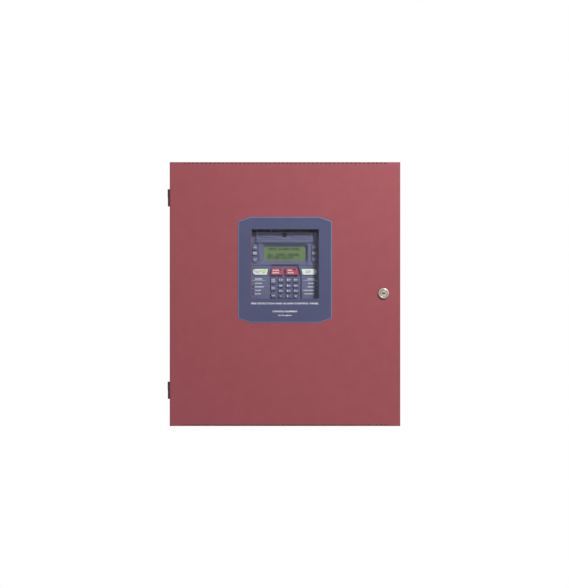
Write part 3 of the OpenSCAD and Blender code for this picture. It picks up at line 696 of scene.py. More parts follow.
def softenCover(piece):
    # every sharp edge is broken but those of the label lamps' small holes
    holes = [Vector((x, 0, windowZ + up)) for x in lamps["labelAcross"] for up in lamps["labelUp"]]
    takeUp(piece)
    bpy.ops.object.mode_set(mode="EDIT")
    bpy.ops.mesh.select_mode(type="EDGE")
    bpy.ops.mesh.select_all(action="DESELECT")
    bpy.ops.mesh.edges_select_sharp(sharpness=sharp)
    bpy.ops.object.mode_set(mode="OBJECT")
    for edge in piece.data.edges:
        end = piece.data.vertices[edge.vertices[0]].co / mm
        end.y = 0
        if min((end - hole).length for hole in holes) < lamps["labelSize"]:
            edge.select = False
    bpy.ops.object.mode_set(mode="EDIT")
    bevelPicked(cover["edge"], 2)


def makeCover():
    face, hoodFace = coverFace, cover["hoodFace"]
    piece = copyOfNode("module_cover", "module_cover_shell", wholeFaces=False)
    front, back = atWindow(cover["bevelFront"]), atWindow(cover["glass"])
    glassY = face + cover["glassBehind"]
    fuse(piece, block("filling", (front[0] - 1.5, face, front[1] - 1.5),
                      (front[2] + 1.5, glassY, front[3] + 1)))
    carve(piece, frustum("cut", front, back, face - 0.01, glassY + 1, cover["corner"]))
    left, right = cover["hoodSpan"]
    for high, low in cover["steps"]:
        carve(piece, block("cut", (left - 1, hoodFace - 1, windowZ + low),
                           (right + 1, hoodFace + cover["stepDepth"], windowZ + high)))
    low, high = cover["grooveUp"]
    for start, end in cover["grooves"]:
        carve(piece, block("cut", (start, face - 1, windowZ + low),
                           (end, face + cover["grooveDepth"], windowZ + high)))
    wide, deep = cover["ribSize"]
    low, high = cover["ribSpan"]
    for x in cover["ribs"]:
        fuse(piece, roundedBlock("rib", (x, face - deep, windowZ + low),
                                 (x + wide, face + 0.5, windowZ + high), cover["ribCorner"], 3))
    wide, tall, deep = cover["scoopSize"]
    for x in cover["scoops"]:
        clearSelection()
        place = Vector((x, hoodFace + deep / 2, windowZ + cover["scoopUp"])) * mm
        bpy.ops.mesh.primitive_uv_sphere_add(segments=40, ring_count=16, radius=0.5 * mm, location=place)
        bpy.context.object.scale = (wide, deep, tall)
        fuse(piece, settle(bpy.context.object, "scoop"))
    for name in cover["pockets"]:
        carve(piece, keyPocket("key_" + name))
    softenCover(piece)
    hand(paint(piece, coverPlastic), "cabinet", "cover_plastic", "module_cover")


makeCover()

legends = {
    "rows": (-35.9, -42.3, -48.9, -55.3), "capHeight": 2.0, "bold": 0.06,
    "titleUp": -27.7, "titleHeight": 2.2, "titleBold": 0.07, "lineUp": -30.2, "lineThick": 0.45, "ink": 0.05,
    # for each side where the words start or end, title and width, the line's ends, words and widths
    "left": {"x": -56.2, "align": "LEFT", "title": ("SYSTEM", 13.6), "line": (-61.2, -35.4),
             "words": (("AC POWER", 13.4), ("SUPERVISORY", 17.4), ("TROUBLE", 11.8), ("SILENCED", 11.4))},
    "right": {"x": 54.7, "align": "RIGHT", "title": ("STATUS", 12.7), "line": (34.0, 59.8),
              "words": (("BATTERY", 11.3), ("DISABLED", 12.5), ("COMMUNICATION", 21.0),
                        ("MAINTENANCE", 18.4))},
}


def makeCoverLegends():
    words = []
    ink, half = legends["ink"], legends["lineThick"] / 2
    for side in (legends["left"], legends["right"]):
        x, align = side["x"], side["align"]
        text, wide = side["title"]
        words.append(legend(text, x, windowZ + legends["titleUp"], coverFace, legends["titleHeight"],
                            wide, align, legends["titleBold"]))
        start, end = side["line"]
        up = windowZ + legends["lineUp"]
        words.append(block("line", (start, coverFace - ink, up - half), (end, coverFace + ink, up + half)))
        for (text, wide), up in zip(side["words"], legends["rows"]):
            words.append(legend(text, x, windowZ + up, coverFace, legends["capHeight"], wide, align,
                                legends["bold"]))
    hand(paint(joinAll("module_cover_lettering", words), whiteInk), "cabinet", "cover_plastic")


makeCoverLegends()

display = {
    # lines of the display and where each starts, the first line's height, the distance between lines
    "rows": (("MAIN ALARM PANEL", -29.9), ("", 0), ("ALL ZONES NORMAL", -31.4), ("09:30A 010125", -32.4)),
    "firstRow": 28.4, "rowPitch": 5.45, "glassEdge": 0.4,
    "dot": (0.62, 0.66), "dotGap": 0.02, "dotThick": 0.04, "columns": 6, "lines": 7,
    # the characters, and their shadow on the mirror behind the glass: ink, how far aside, how far forward
    "layers": (("display_characters", darkInk, 0, 0.02), ("display_shadows", faintInk, 0.42, 0.008)),
    # five by seven dots for each character, one two digit hex number for each row from the top
    "dots": {
        "A": "0E11111F111111", "E": "1F10101E10101F", "I": "0E04040404040E", "L": "1010101010101F",
        "M": "111B1515111111", "N": "11191513111111", "O": "0E11111111110E",
        "P": "1E11111E101010", "R": "1E11111E141211", "S": "0F10100E01011E", "Z": "1F01020408101F",
        "0": "0E11131519110E", "1": "040C040404040E", "2": "0E11010204081F", "3": "1F02040201110E",
        "5": "1F101E0101110E", "9": "0E11110F01020C", ":": "00060600060600", " ": "00" * 7,
    },
}


def dotRow(text, left, middle, yFace):
    # one line of the display: a grid of dots with the unlit ones taken out
    dotWide, dotTall = display["dot"]
    perCharacter, rows = display["columns"], display["lines"]
    columns = len(text) * perCharacter
    wide, tall = columns * dotWide, rows * dotTall
    clearSelection()
    place = Vector((left + wide / 2, yFace, middle)) * mm
    bpy.ops.mesh.primitive_grid_add(x_subdivisions=columns, y_subdivisions=rows, size=1, location=place,
                                    rotation=(math.radians(90), 0, 0))
    bpy.context.object.scale = (wide * mm, tall * mm, 1)
    obj = settle(bpy.context.object, "dots")

    def unlit(centre, normal):
        column = int((centre.x - left) / dotWide)
        row = int((middle + tall / 2 - centre.z) / dotTall)
        dots = int(display["dots"][text[column // perCharacter]][row * 2:row * 2 + 2], 16)
        column = column % perCharacter
        return column > 4 or not dots >> (4 - column) & 1

    pickFaces(obj, unlit)
    bpy.ops.mesh.delete(type="FACE")
    bpy.ops.mesh.select_all(action="SELECT")
    bpy.ops.mesh.inset(thickness=display["dotGap"] * mm, use_individual=True)
    bpy.ops.mesh.select_all(action="INVERT")
    bpy.ops.mesh.delete(type="FACE")
    bpy.ops.object.mode_set(mode="OBJECT")
    return applyModifier(obj, "SOLIDIFY", thickness=display["dotThick"] * mm, offset=0)


def makeDisplay():
    glass = copyOfNode("lcd_glass", "display_glass")
    roundEdges(glass, display["glassEdge"], 2)
    hand(paint(glass, displayGreen), "cabinet", "lcd_green", "lcd_glass")
    front = boxMm("lcd_glass")[0].y
    for name, ink, aside, forward in display["layers"]:
        rows = []
        for i, (text, start) in enumerate(display["rows"]):
            if text:
                middle = windowZ + display["firstRow"] - i * display["rowPitch"]
                rows.append(dotRow(text, start - aside, middle - aside, front - forward))
        hand(paint(joinAll(name, rows), ink), "cabinet", "lcd_green")


makeDisplay()

keys = {
    "edge": 0.4, "ink": (0.04, 0.05),  # in front of the cap's face and behind it
    # capitals' height, boldness, distance from the cap's edge
    "digit": (2.9, 0.09, 1.6), "letters": (1.8, 0.04, 1.3), "lettersWide": 3.6,
    "letterSets": {"1": "ABC", "2": "DEF", "3": "GHI", "4": "JKL", "5": "MNO", "6": "PQR", "7": "STU",
                   "8": "VWX", "9": "YZ", "0": "., -"},
    "chevron": (5.6, 3.6, 0.85), "chevronShift": 0.6, "hash": 2.6,
    "starArm": 1.3, "starWaist": 0.35, "starSpread": 0.7,
    # lines of text from the top
    "words": {
        "acknowledge": ("ACKNOWLEDGE/", "STEP"), "reset": ("SYSTEM", "RESET"),
        "silence": ("ALARM", "SILENCE"), "drill": ("DRILL", "HOLD 2 SEC"),
        "left_middle": ("PREV", "EVENT"), "right_middle": ("NEXT", "EVENT"),
        "function_1": ("ENTER", "STORE"), "function_2": ("ESC",), "function_3": ("CLEAR",),
    },
    # cap height, distance between lines, width, shift of the words' middle from the cap's
    "layout": {"acknowledge": (1.7, 2.6, 13.5, -5.0), "reset": (1.7, 2.6, 9.5, -1.4),
               "silence": (2.2, 4.6, 12.4, None), "drill": (2.2, 4.6, 8.4, None)},
    "plainLayout": (1.6, 2.9, 7.0, 0), "plainMargin": 2.4, "redMargin": 3.6, "bold": 0.06, "redBold": 0.08,
    "widthShares": {"HOLD 2 SEC": 1.3, "STEP": 0.55},
}


def chevron(x, z, yFace, wide, tall, thick, up):
    half, s = wide / 2, 1 if up else -1
    outline = [(-half, -tall / 2), (0, tall / 2 - thick), (half, -tall / 2),
               (half, thick - tall / 2), (0, tall / 2), (-half, thick - tall / 2)]
    front, behind = keys["ink"]
    return plate("chevron", [(x + across, z + s * rise) for across, rise in outline],
                 yFace - front, yFace + behind)


def starArm(x, z, yFace, angle):
    tip, waist, spreadAngle = keys["starArm"], keys["starWaist"], keys["starSpread"]
    outline = [(tip, angle), (waist, angle + spreadAngle), (0, 0), (waist, angle - spreadAngle)]
    front, behind = keys["ink"]
    return plate("arm", [(x + r * math.cos(a), z + r * math.sin(a)) for r, a in outline],
                 yFace - front, yFace + behind)


def wordsInk(name, x, z, wide, yFace):
    tall, pitch, width, shift = keys["layout"].get(name, keys["plainLayout"])
    if name not in keys["layout"]:
        width = min(wide - keys["plainMargin"], width)
    lines = keys["words"][name]
    inks = []
    for i, text in enumerate(lines):
        up = z + ((len(lines) - 1) / 2 - i) * pitch
        size = width * keys["widthShares"].get(text, 1)
        if shift is None:
            left = x - wide / 2 + keys["redMargin"]
            inks.append(legend(text, left, up, yFace, tall, size, "LEFT", keys["redBold"]))
        else:
            inks.append(legend(text, x + shift, up, yFace, tall, size, "CENTER", keys["bold"]))
    return inks


def keyInk(name, low, high):
    # the printing on one key's cap
    x, z, face = (low.x + high.x) / 2, (low.z + high.z) / 2, low.y
    if name.endswith("_up") or name.endswith("_down"):
        up = name.endswith("_up")
        shift = -keys["chevronShift"] if up else keys["chevronShift"]
        return [chevron(x, z + shift, face, *keys["chevron"], up)]
    if name in keys["letterSets"]:
        tall, bold, margin = keys["digit"]
        digit = legend(name, low.x + margin, z, face, tall, None, "LEFT", bold)
        tall, bold, margin = keys["letters"]
        return [digit, legend(keys["letterSets"][name], high.x - margin, z - 0.2, face, tall,
                              keys["lettersWide"], "RIGHT", bold)]
    if name == "star":
        return [starArm(x, z, face, math.radians(90 + 60 * i)) for i in range(6)]
    if name == "hash":
        return [legend("#", x, z, face, keys["hash"], keys["hash"], "CENTER", keys["redBold"])]
    return wordsInk(name, x, z, high.x - low.x, face)


def makeKeys():
    red, white = (keyRedPlastic, "key_red", whiteInk), (keyWhitePlastic, "key_white", greyInk)
    looks = {"silence": red, "drill": red, "acknowledge": white, "reset": white}
    flange = Vector((cover["keyFlange"], 0, 0))
    for node in [n for n in nodes if n.startswith("key_")]:
        name = node[len("key_"):]
        plastic, slot, ink = looks.get(name, (keyGreyPlastic, "key_grey", whiteInk))
        low, high = boxMm(node)
        cap = paint(roundEdges(copyOfNode(node, node + "_cap"), keys["edge"], 3), plastic)
        inks = [paint(mark, ink) for mark in keyInk(name, low + flange, high - flange)]
        hand(joinAll(node + "_cap", [cap] + inks), node, slot, node)


makeKeys()


def lampPiece(x, up, diameter, front, back):
    piece = rod("lamp", x, windowZ + up, front, back, diameter, 28)
    return roundFront(piece, front, diameter * lamps["crown"], 6)


def makeLamps():
    back = boxMm("display_board")[0].y
    power, *unlit = [lampPiece(x, up, lamps["labelSize"], lamps["labelFront"], back)
                     for x in lamps["labelAcross"] for up in lamps["labelUp"]]
    acknowledge, *small = [lampPiece(*place, lamps["keyFront"], back) for place in lamps["keyLamps"]]
    for name, pieces, finish in (("power_lamp", [power], yellowLamp),
                                 ("acknowledge_lamp", [acknowledge], greenLamp),
                                 ("unlit_lamps", unlit + small, darkLamp)):
        hand(paint(joinAll(name, pieces), finish), "cabinet", "led_plastic", "indicator_leds")


makeLamps()
print("display module made")


def makeLens():
    low, high = boxMm("window_lens")
    lens = roundedBlock("window_lens_sheet", low, high, 3)
    roundEdges(lens, 0.3, 2)
    hand(paint(lens, clearLens), "door", "clear_lens", "window_lens")
    soften("window_retainer", zincSteel, "door", "zinc_steel", 0.4)
    soften("retainer_nuts", zincSteel, "door", "zinc_steel", 0.3)


makeLens()

lock = {
    "head": 20.4, "headLong": 4, "rim": 2.1, "barrel": 18.8, "bore": 12.8, "barrelEnd": -119,
    "barrelChamfer": 0.5, "threadPitch": 1.0, "threadDeep": 0.35,
    "mouth": ((0.9, 0), (0.4, 0.25), (0, 0.8)),  # the flared edge: out from the bore, back from the front
    "plugEdge": 0.3, "keyway": (5.7, 1.8), "keywayLip": 0.5,
}


def makeLock():
    x, z = lockCentre()
    front, back = boxMm("lock_body")[0].y, lock["barrelEnd"]
    face = front + lock["headLong"]
    outer, bore, barrel = lock["head"] / 2, lock["bore"] / 2, lock["barrel"] / 2
    rim = lock["rim"]
    turns = [i * math.pi / 12 for i in range(7)]
    profile = [(outer, face)]
    profile += [(outer - rim + rim * math.cos(a), front + rim - rim * math.sin(a)) for a in turns]
    profile += [(bore + out, front + behind) for out, behind in lock["mouth"]] + [(bore, back)]
    pitch, deep, chamfer = lock["threadPitch"], lock["threadDeep"], lock["barrelChamfer"]
    thread = [(barrel - chamfer, back), (barrel, back - chamfer)]
    for i in range(int((back - face - 2.2) / pitch)):
        y = back - chamfer - 0.2 - i * pitch
        thread += [(barrel, y), (barrel - deep, y - pitch * 0.45), (barrel, y - pitch * 0.9)]
    body = lathe("lock_housing", profile + thread + [(barrel, face)], x, z, 56)
    hand(paint(body, nickelSteel), "door", "nickel_plate", "lock_body")
    soften("lock_nut", zincSteel, "door", "zinc_steel", 0.6, 3)

    plug = copyOfNode("lock_plug", "lock_plug_turned")
    roundEdges(plug, lock["plugEdge"], 2, math.radians(60))
    # the plug's second material darkens its keyway as painted shade
    paint(plug, nickelSteel, blackSteelAndKeywayShade)
    wide, tall = lock["keyway"]
    deep = boxMm("lock_plug")[0].y + lock["keywayLip"]
    for part in plug.data.polygons:
        centre = part.center / mm
        within = abs(centre.x - x) < wide / 2 + 0.1 and abs(centre.z - z) < tall / 2 + 0.1
        part.material_index = int(within and centre.y > deep)  # the keyway's faces take the black: painted shade deep in the keyway
    hand(plug, "lock", "nickel_plate", "lock_plug")
    soften("lock_cam", zincSteel, "lock", "zinc_steel", 0.3)
    soften("cam_screw", zincSteel, "lock", "zinc_steel", 0.3)


makeLock()

# the hinge leaves get the red with painted shade
for node, body in (("box_hinge_leaves", "cabinet"), ("door_hinge_leaves", "door")):
    soften(node, hingeRedWithPaintedShade, body, "hinge_paint", 0.4, 3)
soften("hinge_pins", zincSteel, "cabinet", "zinc_steel")
print("window glazed, lock and hinges made")

cabinet = {
    "bend": 1.6, "lip": 15, "steel": 1.5, "wallHoles": (355.6, 419.1, 7.2),
    # the grooves round the knockouts: two diameters, width and depth, then where they are
    "ringSizes": (28.6, 22.2), "ringWide": 0.5, "ringDeep": 0.4, "onBack": (-60, 60), "backUp": 150,
    "acrossTop": (-150, -90, -30, 30, 90, 150), "depths": (-40, -90), "upSides": (-150, -60, 80, 150),
    "studAcross": 180, "studUp": (-80, 60, 220), "stud": 4, "studEnd": -29.5, "studChamfer": 0.5,
}


def tube(outer, inner, yFront, yBack):
    ring = rod("ring", 0, 0, yFront, yBack, outer, 48)
    return carve(ring, rod("bore", 0, 0, yFront - 1, yBack + 1, inner, 48))


def knockoutRings(low, high):
    # both rings of a knockout, turned to face the back, then the top, then the sides
    wide, deep = cabinet["ringWide"], cabinet["ringDeep"]
    rings = joinAll("rings", [tube(size, size - 2 * wide, -deep, deep) for size in cabinet["ringSizes"]])
    cutters = repeat(rings, [(x, 0, cabinet["backUp"]) for x in cabinet["onBack"]])[1:]
    rings.rotation_euler = (math.radians(90), 0, 0)
    settle(rings, "rings")
    cutters += repeat(rings, [(x, y, high.z) for x in cabinet["acrossTop"] for y in cabinet["depths"]])[1:]
    rings.rotation_euler = (0, math.radians(90), 0)
    settle(rings, "rings")
    cutters += repeat(rings, [(x, y, z) for x in (low.x, high.x) for z in cabinet["upSides"]
                              for y in cabinet["depths"]])[1:]
    bpy.data.objects.remove(rings)
    return joinAll("rings", cutters)


def makeCabinet():
    low, high = boxMm("backbox")
    shell = block("cabinet_shell", low, high)
    pickEdges(shell, lambda a, b: True)
    bevelPicked(cabinet["bend"], 4)
    pickFaces(shell, lambda centre, normal: normal.y < -0.99)
    bpy.ops.mesh.inset(thickness=(cabinet["lip"] - cabinet["bend"]) * mm)
    bpy.ops.mesh.delete(type="FACE")
    bpy.ops.object.mode_set(mode="OBJECT")
    applyModifier(shell, "SOLIDIFY", thickness=cabinet["steel"] * mm, offset=-1, use_even_offset=True)
    across, up, hole = cabinet["wallHoles"]
    for x in (-across / 2, across / 2):
        for z in (-up / 2, up / 2):
            carve(shell, rod("cut", x, z, -4, 2, hole))
    carve(shell, knockoutRings(low, high))
    paint(shell, redCoat)
    across, end = cabinet["studAcross"], cabinet["studEnd"]
    studs = []
    for x in (-across, across):
        for z in cabinet["studUp"]:
            stud = rod("stud", x, z, end, 0.1 - cabinet["steel"], cabinet["stud"], 24)
            studs.append(paint(roundFront(stud, end, cabinet["studChamfer"], 1), zincSteel))
    hand(joinAll("cabinet_shell", [shell] + studs), "cabinet", "red_paint", "backbox")


makeCabinet()
soften("chassis_plate", zincSteel, "cabinet", "zinc_steel", 0.4)
soften("stud_nuts", zincSteel, "cabinet", "zinc_steel", 0.35)
soften("standoffs", nickelSteel, "cabinet", "nickel_plate", 0.3)
print("cabinet made")

boardLow = boxMm("main_circuit_board")[0]
boardFace = boardLow.y
sunk = 0.02  # how far the parts of the board reach into it

screws = {
    # the slot's length and width are shares of the diameter, the crown and the slot's depth of the height
    "crown": 0.62, "slot": (0.55, 0.13, 0.7),
    "moduleTall": 2.4, "moduleTurn": 20, "shank": 3, "board": (6, 2.2, 35), "boardEdge": 3,
}


def panHead(name, x, z, yFace, diameter, tall, turn):
    # a round screw head with a cross recess, whose flat side is at yFace
    head = rod(name, x, z, yFace - tall, yFace, diameter, 32)
    roundFront(head, yFace - tall, tall * screws["crown"], 4)
    arm, slot, deep = screws["slot"]
    arm, slot, deep = diameter * arm, diameter * slot, tall * deep
    for angle in (turn, turn + 90):
        cut = block("cut", (-arm / 2, -deep, -slot / 2), (arm / 2, deep, slot / 2))
        cut.rotation_euler = (0, math.radians(angle), 0)
        cut.location = Vector((x, yFace - tall, z)) * mm
        carve(head, settle(cut, "cut"))
    return head


def makeScrews():
    low, high = boxMm("module_screw")
    x, z, tall = (low.x + high.x) / 2, (low.z + high.z) / 2, screws["moduleTall"]
    head = panHead("module_screw_head", x, z, low.y + tall, high.x - low.x, tall, screws["moduleTurn"])
    shank = rod("shank", x, z, low.y + tall - 0.1, high.y, screws["shank"], 20)
    screw = paint(joinAll("module_screw_head", [head, shank]), blackSteelAndKeywayShade)
    hand(screw, "cabinet", "zinc_steel", "module_screw")
    low, high = boxMm("board_screws")
    middle, edge = (low.x + high.x) / 2, screws["boardEdge"]
    first = panHead("board_screw", 0, 0, boardFace, *screws["board"])
    heads = repeat(first, [(x, 0, z) for x in (low.x + edge, middle, high.x - edge)
                           for z in (low.z + edge, high.z - edge)])
    bpy.data.objects.remove(heads.pop(0))
    hand(paint(joinAll("board_screw_heads", heads), zincSteel), "cabinet", "zinc_steel", "board_screws")


makeScrews()

board = {
    # across, up, width, height, whether there are pins on all four sides
    "chips": ((-40, 130, 24, 24, True), (-40, 96, 14, 20, False), (0, 150, 12, 18, False),
              (-84, 96, 12, 18, False), (-120, 112, 8, 10, False), (-150, 112, 8, 10, False),
              (36, 178, 10, 14, False), (70, 178, 10, 14, False)),
    "chipTall": 2.6, "chipGap": 0.3, "chipEdge": 0.35, "dotInset": 1.8, "dot": 1.2, "dotDepth": 0.3,
    "pinPitch": 2.0, "pinMargin": 1, "pinWide": 0.6, "pinReach": 1.8, "pinTall": 0.9, "pinEdge": 0.28,
    # first one's place, how many, distance between them
    "resistorRows": ((-160, 60, 12, 5.4), (-160, 46, 12, 5.4), (-84, 60, 8, 5.4), (-84, 70, 8, 5.4),
                     (-30, 10, 14, 5.4), (20, 150, 3, 5.4), (-160, 130, 18, 5.4), (60, 0, 10, 5.4),
                     (-110, 4, 12, 5.4), (-110, 14, 12, 5.4)),
    "resistor": (3.2, 1.6, 0.7, 0.5), "capProud": 0.05, "resistorEdge": 0.1,
    "fuses": ((140, 172), (140, 180), (140, 188)), "fuse": (20, 5.2, 5.6), "fuseCap": (5, 0.4, 0.3),
    "clip": (4, 6.4), "clipWall": 0.5, "clipFloor": 1, "clipEdge": 0.15,
    "words": (("LOOP", -150, -13), ("BELL 1", -108, -13), ("BATTERY", -59, -13), ("RELAYS", 8, -13),
              ("24 V OUT", 76, -13), ("AC IN", 132, 0), ("ZONE 1 - 4", -150, 196), ("ZONE 5 - 8", -108, 196),
              ("REMOTE", 56, 196), ("PRINTER", 98, 196)),
    "wordHeight": 2.6, "displayBoardEdge": 0.15,
}
cans = {
    # across, up, diameter, height
    "places": ((-160, 80, 8, 11), (-148, 80, 8, 11), (-136, 80, 8, 11), (82, 150, 10, 13), (82, 136, 10, 13),
               (84, 60, 10, 14), (84, 74, 10, 14), (20, 20, 6.3, 8), (32, 20, 6.3, 8), (44, 20, 6.3, 8)),
    # inset from the side and distance from the top, then inset and distance from the board
    "dish": 0.3, "rim": ((1.3, 0.3), (1, 0), (0.4, 0), (0, 0.5)), "neck": ((0, 2.6), (0.5, 2.1), (0, 1.6)),
    "sides": 32, "bareTop": (0.4, 0),
}
bigCans = {
    "diameter": 22, "dish": 0.8, "rim": ((1.6, 0.8), (1.2, 0.1), (0.5, 0), (0, 0.6)),
    "neck": ((0, 5), (0.9, 4.2), (0, 3.4)), "sides": 48, "bareTop": (1.2, 1.4),
    "vent": (3, 0.35, 0.3), "ventAngles": (45, 135),
}
traces = {
    "count": 26, "pitch": 2.6, "wide": 0.5, "thick": 0.06,
    # the bent ones: start, rise within each group, height of the turn and its step, run aside, run on
    "start": (-165, 30), "group": 5, "rise": 2, "turn": (120, 1.2), "aside": 14, "onward": 30, "mitre": 0.4,
    # the level ones: left end, right end and height, each with its step
    "left": (-30, 0.7), "right": (60, 1.3), "height": (84, 0.9),
}


def pinPlaces(middle, length):
    pitch = board["pinPitch"]
    steps = int((length - 2 * board["pinMargin"]) / pitch)
    return [middle - steps * pitch / 2 + i * pitch for i in range(steps + 1)]


def makeChips():
    bodies, pins = [], []
    top, pinTop, back = boardFace - board["chipTall"], boardFace - board["pinTall"], boardFace + sunk
    half, reach, inset = board["pinWide"] / 2, board["pinReach"], board["dotInset"]
    for x, z, wide, tall, allSides in board["chips"]:
        body = block("chip", (x - wide / 2, top, z - tall / 2),
                     (x + wide / 2, boardFace - board["chipGap"], z + tall / 2))
        dot = rod("dot", x - wide / 2 + inset, z + tall / 2 - inset, top - 1, top + board["dotDepth"],
                  board["dot"], 16)
        bodies.append(carve(roundFront(body, top, board["chipEdge"], 2), dot))
        for side in (-1, 1):
            start, end = sorted((x + side * wide / 2, x + side * (wide / 2 + reach)))
            for up in pinPlaces(z, tall):
                pins.append(block("pin", (start, pinTop, up - half), (end, back, up + half)))
            start, end = sorted((z + side * tall / 2, z + side * (tall / 2 + reach)))
            for across in pinPlaces(x, wide) if allSides else ():
                pins.append(block("pin", (across - half, pinTop, start), (across + half, back, end)))
    hand(paint(joinAll("circuit_chips", bodies), blackPlastic), "cabinet", "circuit_board")
    pinRows = joinAll("circuit_chip_pins", pins)
    pickEdges(pinRows, lambda a, b: a.y < pinTop + 0.1 and b.y < pinTop + 0.1)
    bevelPicked(board["pinEdge"], 2)
    hand(paint(pinRows, zincSteel), "cabinet", "circuit_board")


def makeResistors():
    long, wide, tall, cap = board["resistor"]
    middle = block("resistor", (-long / 2 + cap, -tall, -wide / 2), (long / 2 - cap, 0, wide / 2))
    pieces = [paint(middle, blackPlastic)]
    for left in (-long / 2, long / 2 - cap):
        end = block("end", (left, -tall - board["capProud"], -wide / 2 - sunk),
                    (left + cap, sunk, wide / 2 + sunk))
        pieces.append(paint(end, zincSteel))
    first = roundEdges(joinAll("resistor", pieces), board["resistorEdge"], 1)
    row = repeat(first, [(x + i * pitch, boardFace, z) for x, z, count, pitch in board["resistorRows"]
                         for i in range(count)])
    bpy.data.objects.remove(row.pop(0))
    hand(joinAll("circuit_resistors", row), "cabinet", "circuit_board")


def canPiece(shape, x, z, diameter, top):
    # a capacitor in its sleeve, with a bare top
    r = diameter / 2
    profile = [(0, top + shape["dish"])] + [(r - inset, top + down) for inset, down in shape["rim"]]
    profile += [(r - inset, boardFace - out) for inset, out in shape["neck"]]
    profile += [(r, boardFace), (0, boardFace)]
    can = paint(lathe("can", profile, x, z, shape["sides"]), blueSleeve, aluminium)
    deep, inset = shape["bareTop"]
    for face in can.data.polygons:
        centre = face.center / mm
        bare = centre.y < top + deep and math.hypot(centre.x - x, centre.z - z) < r - inset
        face.material_index = 1 if bare else 0
    return can


def makeCans():
    pieces = [canPiece(cans, x, z, diameter, boardFace - tall) for x, z, diameter, tall in cans["places"]]
    hand(joinAll("circuit_capacitors", pieces), "cabinet", "capacitor_sleeve")


def makeFuses():
    long, thick, tall = board["fuse"]
    cap, over, edge = board["fuseCap"]
    clipLong, clipWide = board["clip"]
    top, wall = boardFace - tall, board["clipWall"]
    parts = []
    for x, z in board["fuses"]:
        pieces = [paint(rod("fuse", 0, 0, -long / 2, long / 2, thick, 24), clearLens)]
        for start in (-long / 2, long / 2 - cap):
            end = rod("end", 0, 0, start, start + cap, thick + over, 24)
            pieces.append(paint(roundEdges(end, edge, 2), nickelSteel))
        fuse = joinAll("fuse", pieces)
        fuse.rotation_euler = (0, 0, math.radians(90))
        fuse.location = Vector((x, top, z)) * mm
        parts.append(settle(fuse, "fuse"))
        for middle in (x - (long - cap) / 2, x + (long - cap) / 2):
            clip = block("clip", (middle - clipLong / 2, top, z - clipWide / 2),
                         (middle + clipLong / 2, boardFace + sunk, z + clipWide / 2))
            carve(clip, block("cut", (x - long, top - 1, z - clipWide / 2 + wall),
                              (x + long, boardFace - board["clipFloor"], z + clipWide / 2 - wall)))
            parts.append(paint(roundEdges(clip, board["clipEdge"], 1), zincSteel))
    hand(joinAll("circuit_fuses", parts), "cabinet", "circuit_board")


def makeTraces():
    wide, front, back = traces["wide"], boardFace - traces["thick"], boardFace + sunk
    (startX, startZ), (turn, turnStep) = traces["start"], traces["turn"]
    (left, leftStep), (right, rightStep), (height, fall) = traces["left"], traces["right"], traces["height"]
    aside, onward, corner = traces["aside"], traces["onward"], traces["mitre"] * wide
    lines = []
    for i in range(traces["count"]):
        x, z = startX + i * traces["pitch"], startZ + i % traces["group"] * traces["rise"]
        bend = turn - i * turnStep
        bent = [(x, z), (x + wide, z), (x + wide, bend), (x + aside + wide, bend + aside),
                (x + aside + wide, bend + onward), (x + aside, bend + onward),
                (x + aside, bend + aside + corner), (x, bend + corner)]
        lines.append(plate("trace", bent, front, back))
        up = height - i * fall
        lines.append(block("trace", (left + i * leftStep, front, up),
                           (right + i * rightStep, back, up + wide)))
    hand(paint(joinAll("circuit_traces", lines), copperTrace), "cabinet", "circuit_board")


def makeBoard():
    bare = copyOfNode("main_circuit_board", "main_circuit_board_laminate", wholeFaces=False)
    hand(paint(bare, circuitBoard), "cabinet", "circuit_board", "main_circuit_board")
    soften("display_board", circuitBoard, "cabinet", "circuit_board", board["displayBoardEdge"])
    makeTraces()
    words = [legend(text, x, z, boardFace, board["wordHeight"], None, "LEFT")
             for text, x, z in board["words"]]
    hand(paint(joinAll("circuit_board_lettering", words), whiteInk), "cabinet", "circuit_board")
    makeChips()
    makeResistors()
    makeCans()
    makeFuses()


makeBoard()

terminals = {
    "pitch": 5.08, "edge": 0.3, "screw": 3.4, "head": 0.9, "headEdge": 0.25, "slot": (0.6, 0.5),
    "screwUp": 6, "sunk": 11.6,
    # left end, lower edge above the board's own lower edge, number of ways
    "blocks": ((-150, 2, 7), (-108, 2, 7), (8, 2, 7), (76, 2, 7), (-59, 2, 6), (132, 14, 6),
               (-150, 232, 7), (-108, 232, 7), (56, 232, 7), (98, 232, 7)),
}


def makeTerminals():
    soften("terminal_blocks", greenPlastic, "cabinet", "terminal_plastic", terminals["edge"])
    seat, (wide, deep) = boardFace - terminals["sunk"], terminals["slot"]
    top = seat - terminals["head"]
    first = rod("terminal_screw", 0, 0, top, seat, terminals["screw"], 20)
    roundFront(first, top, terminals["headEdge"], 2)
    carve(first, block("cut", (-wide / 2, top - 1, -3), (wide / 2, top + deep, 3)))
    heads = repeat(first, [(x + (i + 0.5) * terminals["pitch"], 0, boardLow.z + up + terminals["screwUp"])
                           for x, up, ways in terminals["blocks"] for i in range(ways)])
    bpy.data.objects.remove(heads.pop(0))
    hand(paint(joinAll("terminal_screws", heads), zincSteel), "cabinet", "terminal_plastic")


makeTerminals()

relays = {
    "count": 5, "firstX": 10, "pitch": 24, "edge": 0.9, "sinkEdge": 0.3,
    "number": (4, 3.4, 0.05), "volts": (-3, 2.4, 0.03),  # above the middle, capitals' height, boldness
}


def makeRelays():
    soften("relays", bluePlastic, "cabinet", "relay_plastic", relays["edge"], 3)
    low, high = boxMm("relays")
    words = []
    for i in range(relays["count"]):
        x = low.x + relays["firstX"] + i * relays["pitch"]
        for text, (up, tall, bold) in (("K%d" % (i + 1), relays["number"]), ("24 V", relays["volts"])):
            words.append(legend(text, x, (low.z + high.z) / 2 + up, low.y, tall, None, "CENTER", bold))
    hand(paint(joinAll("relay_lettering", words), whiteInk), "cabinet", "relay_plastic")
    soften("heat_sink", blackAluminium, "cabinet", "black_aluminium", relays["sinkEdge"])


makeRelays()


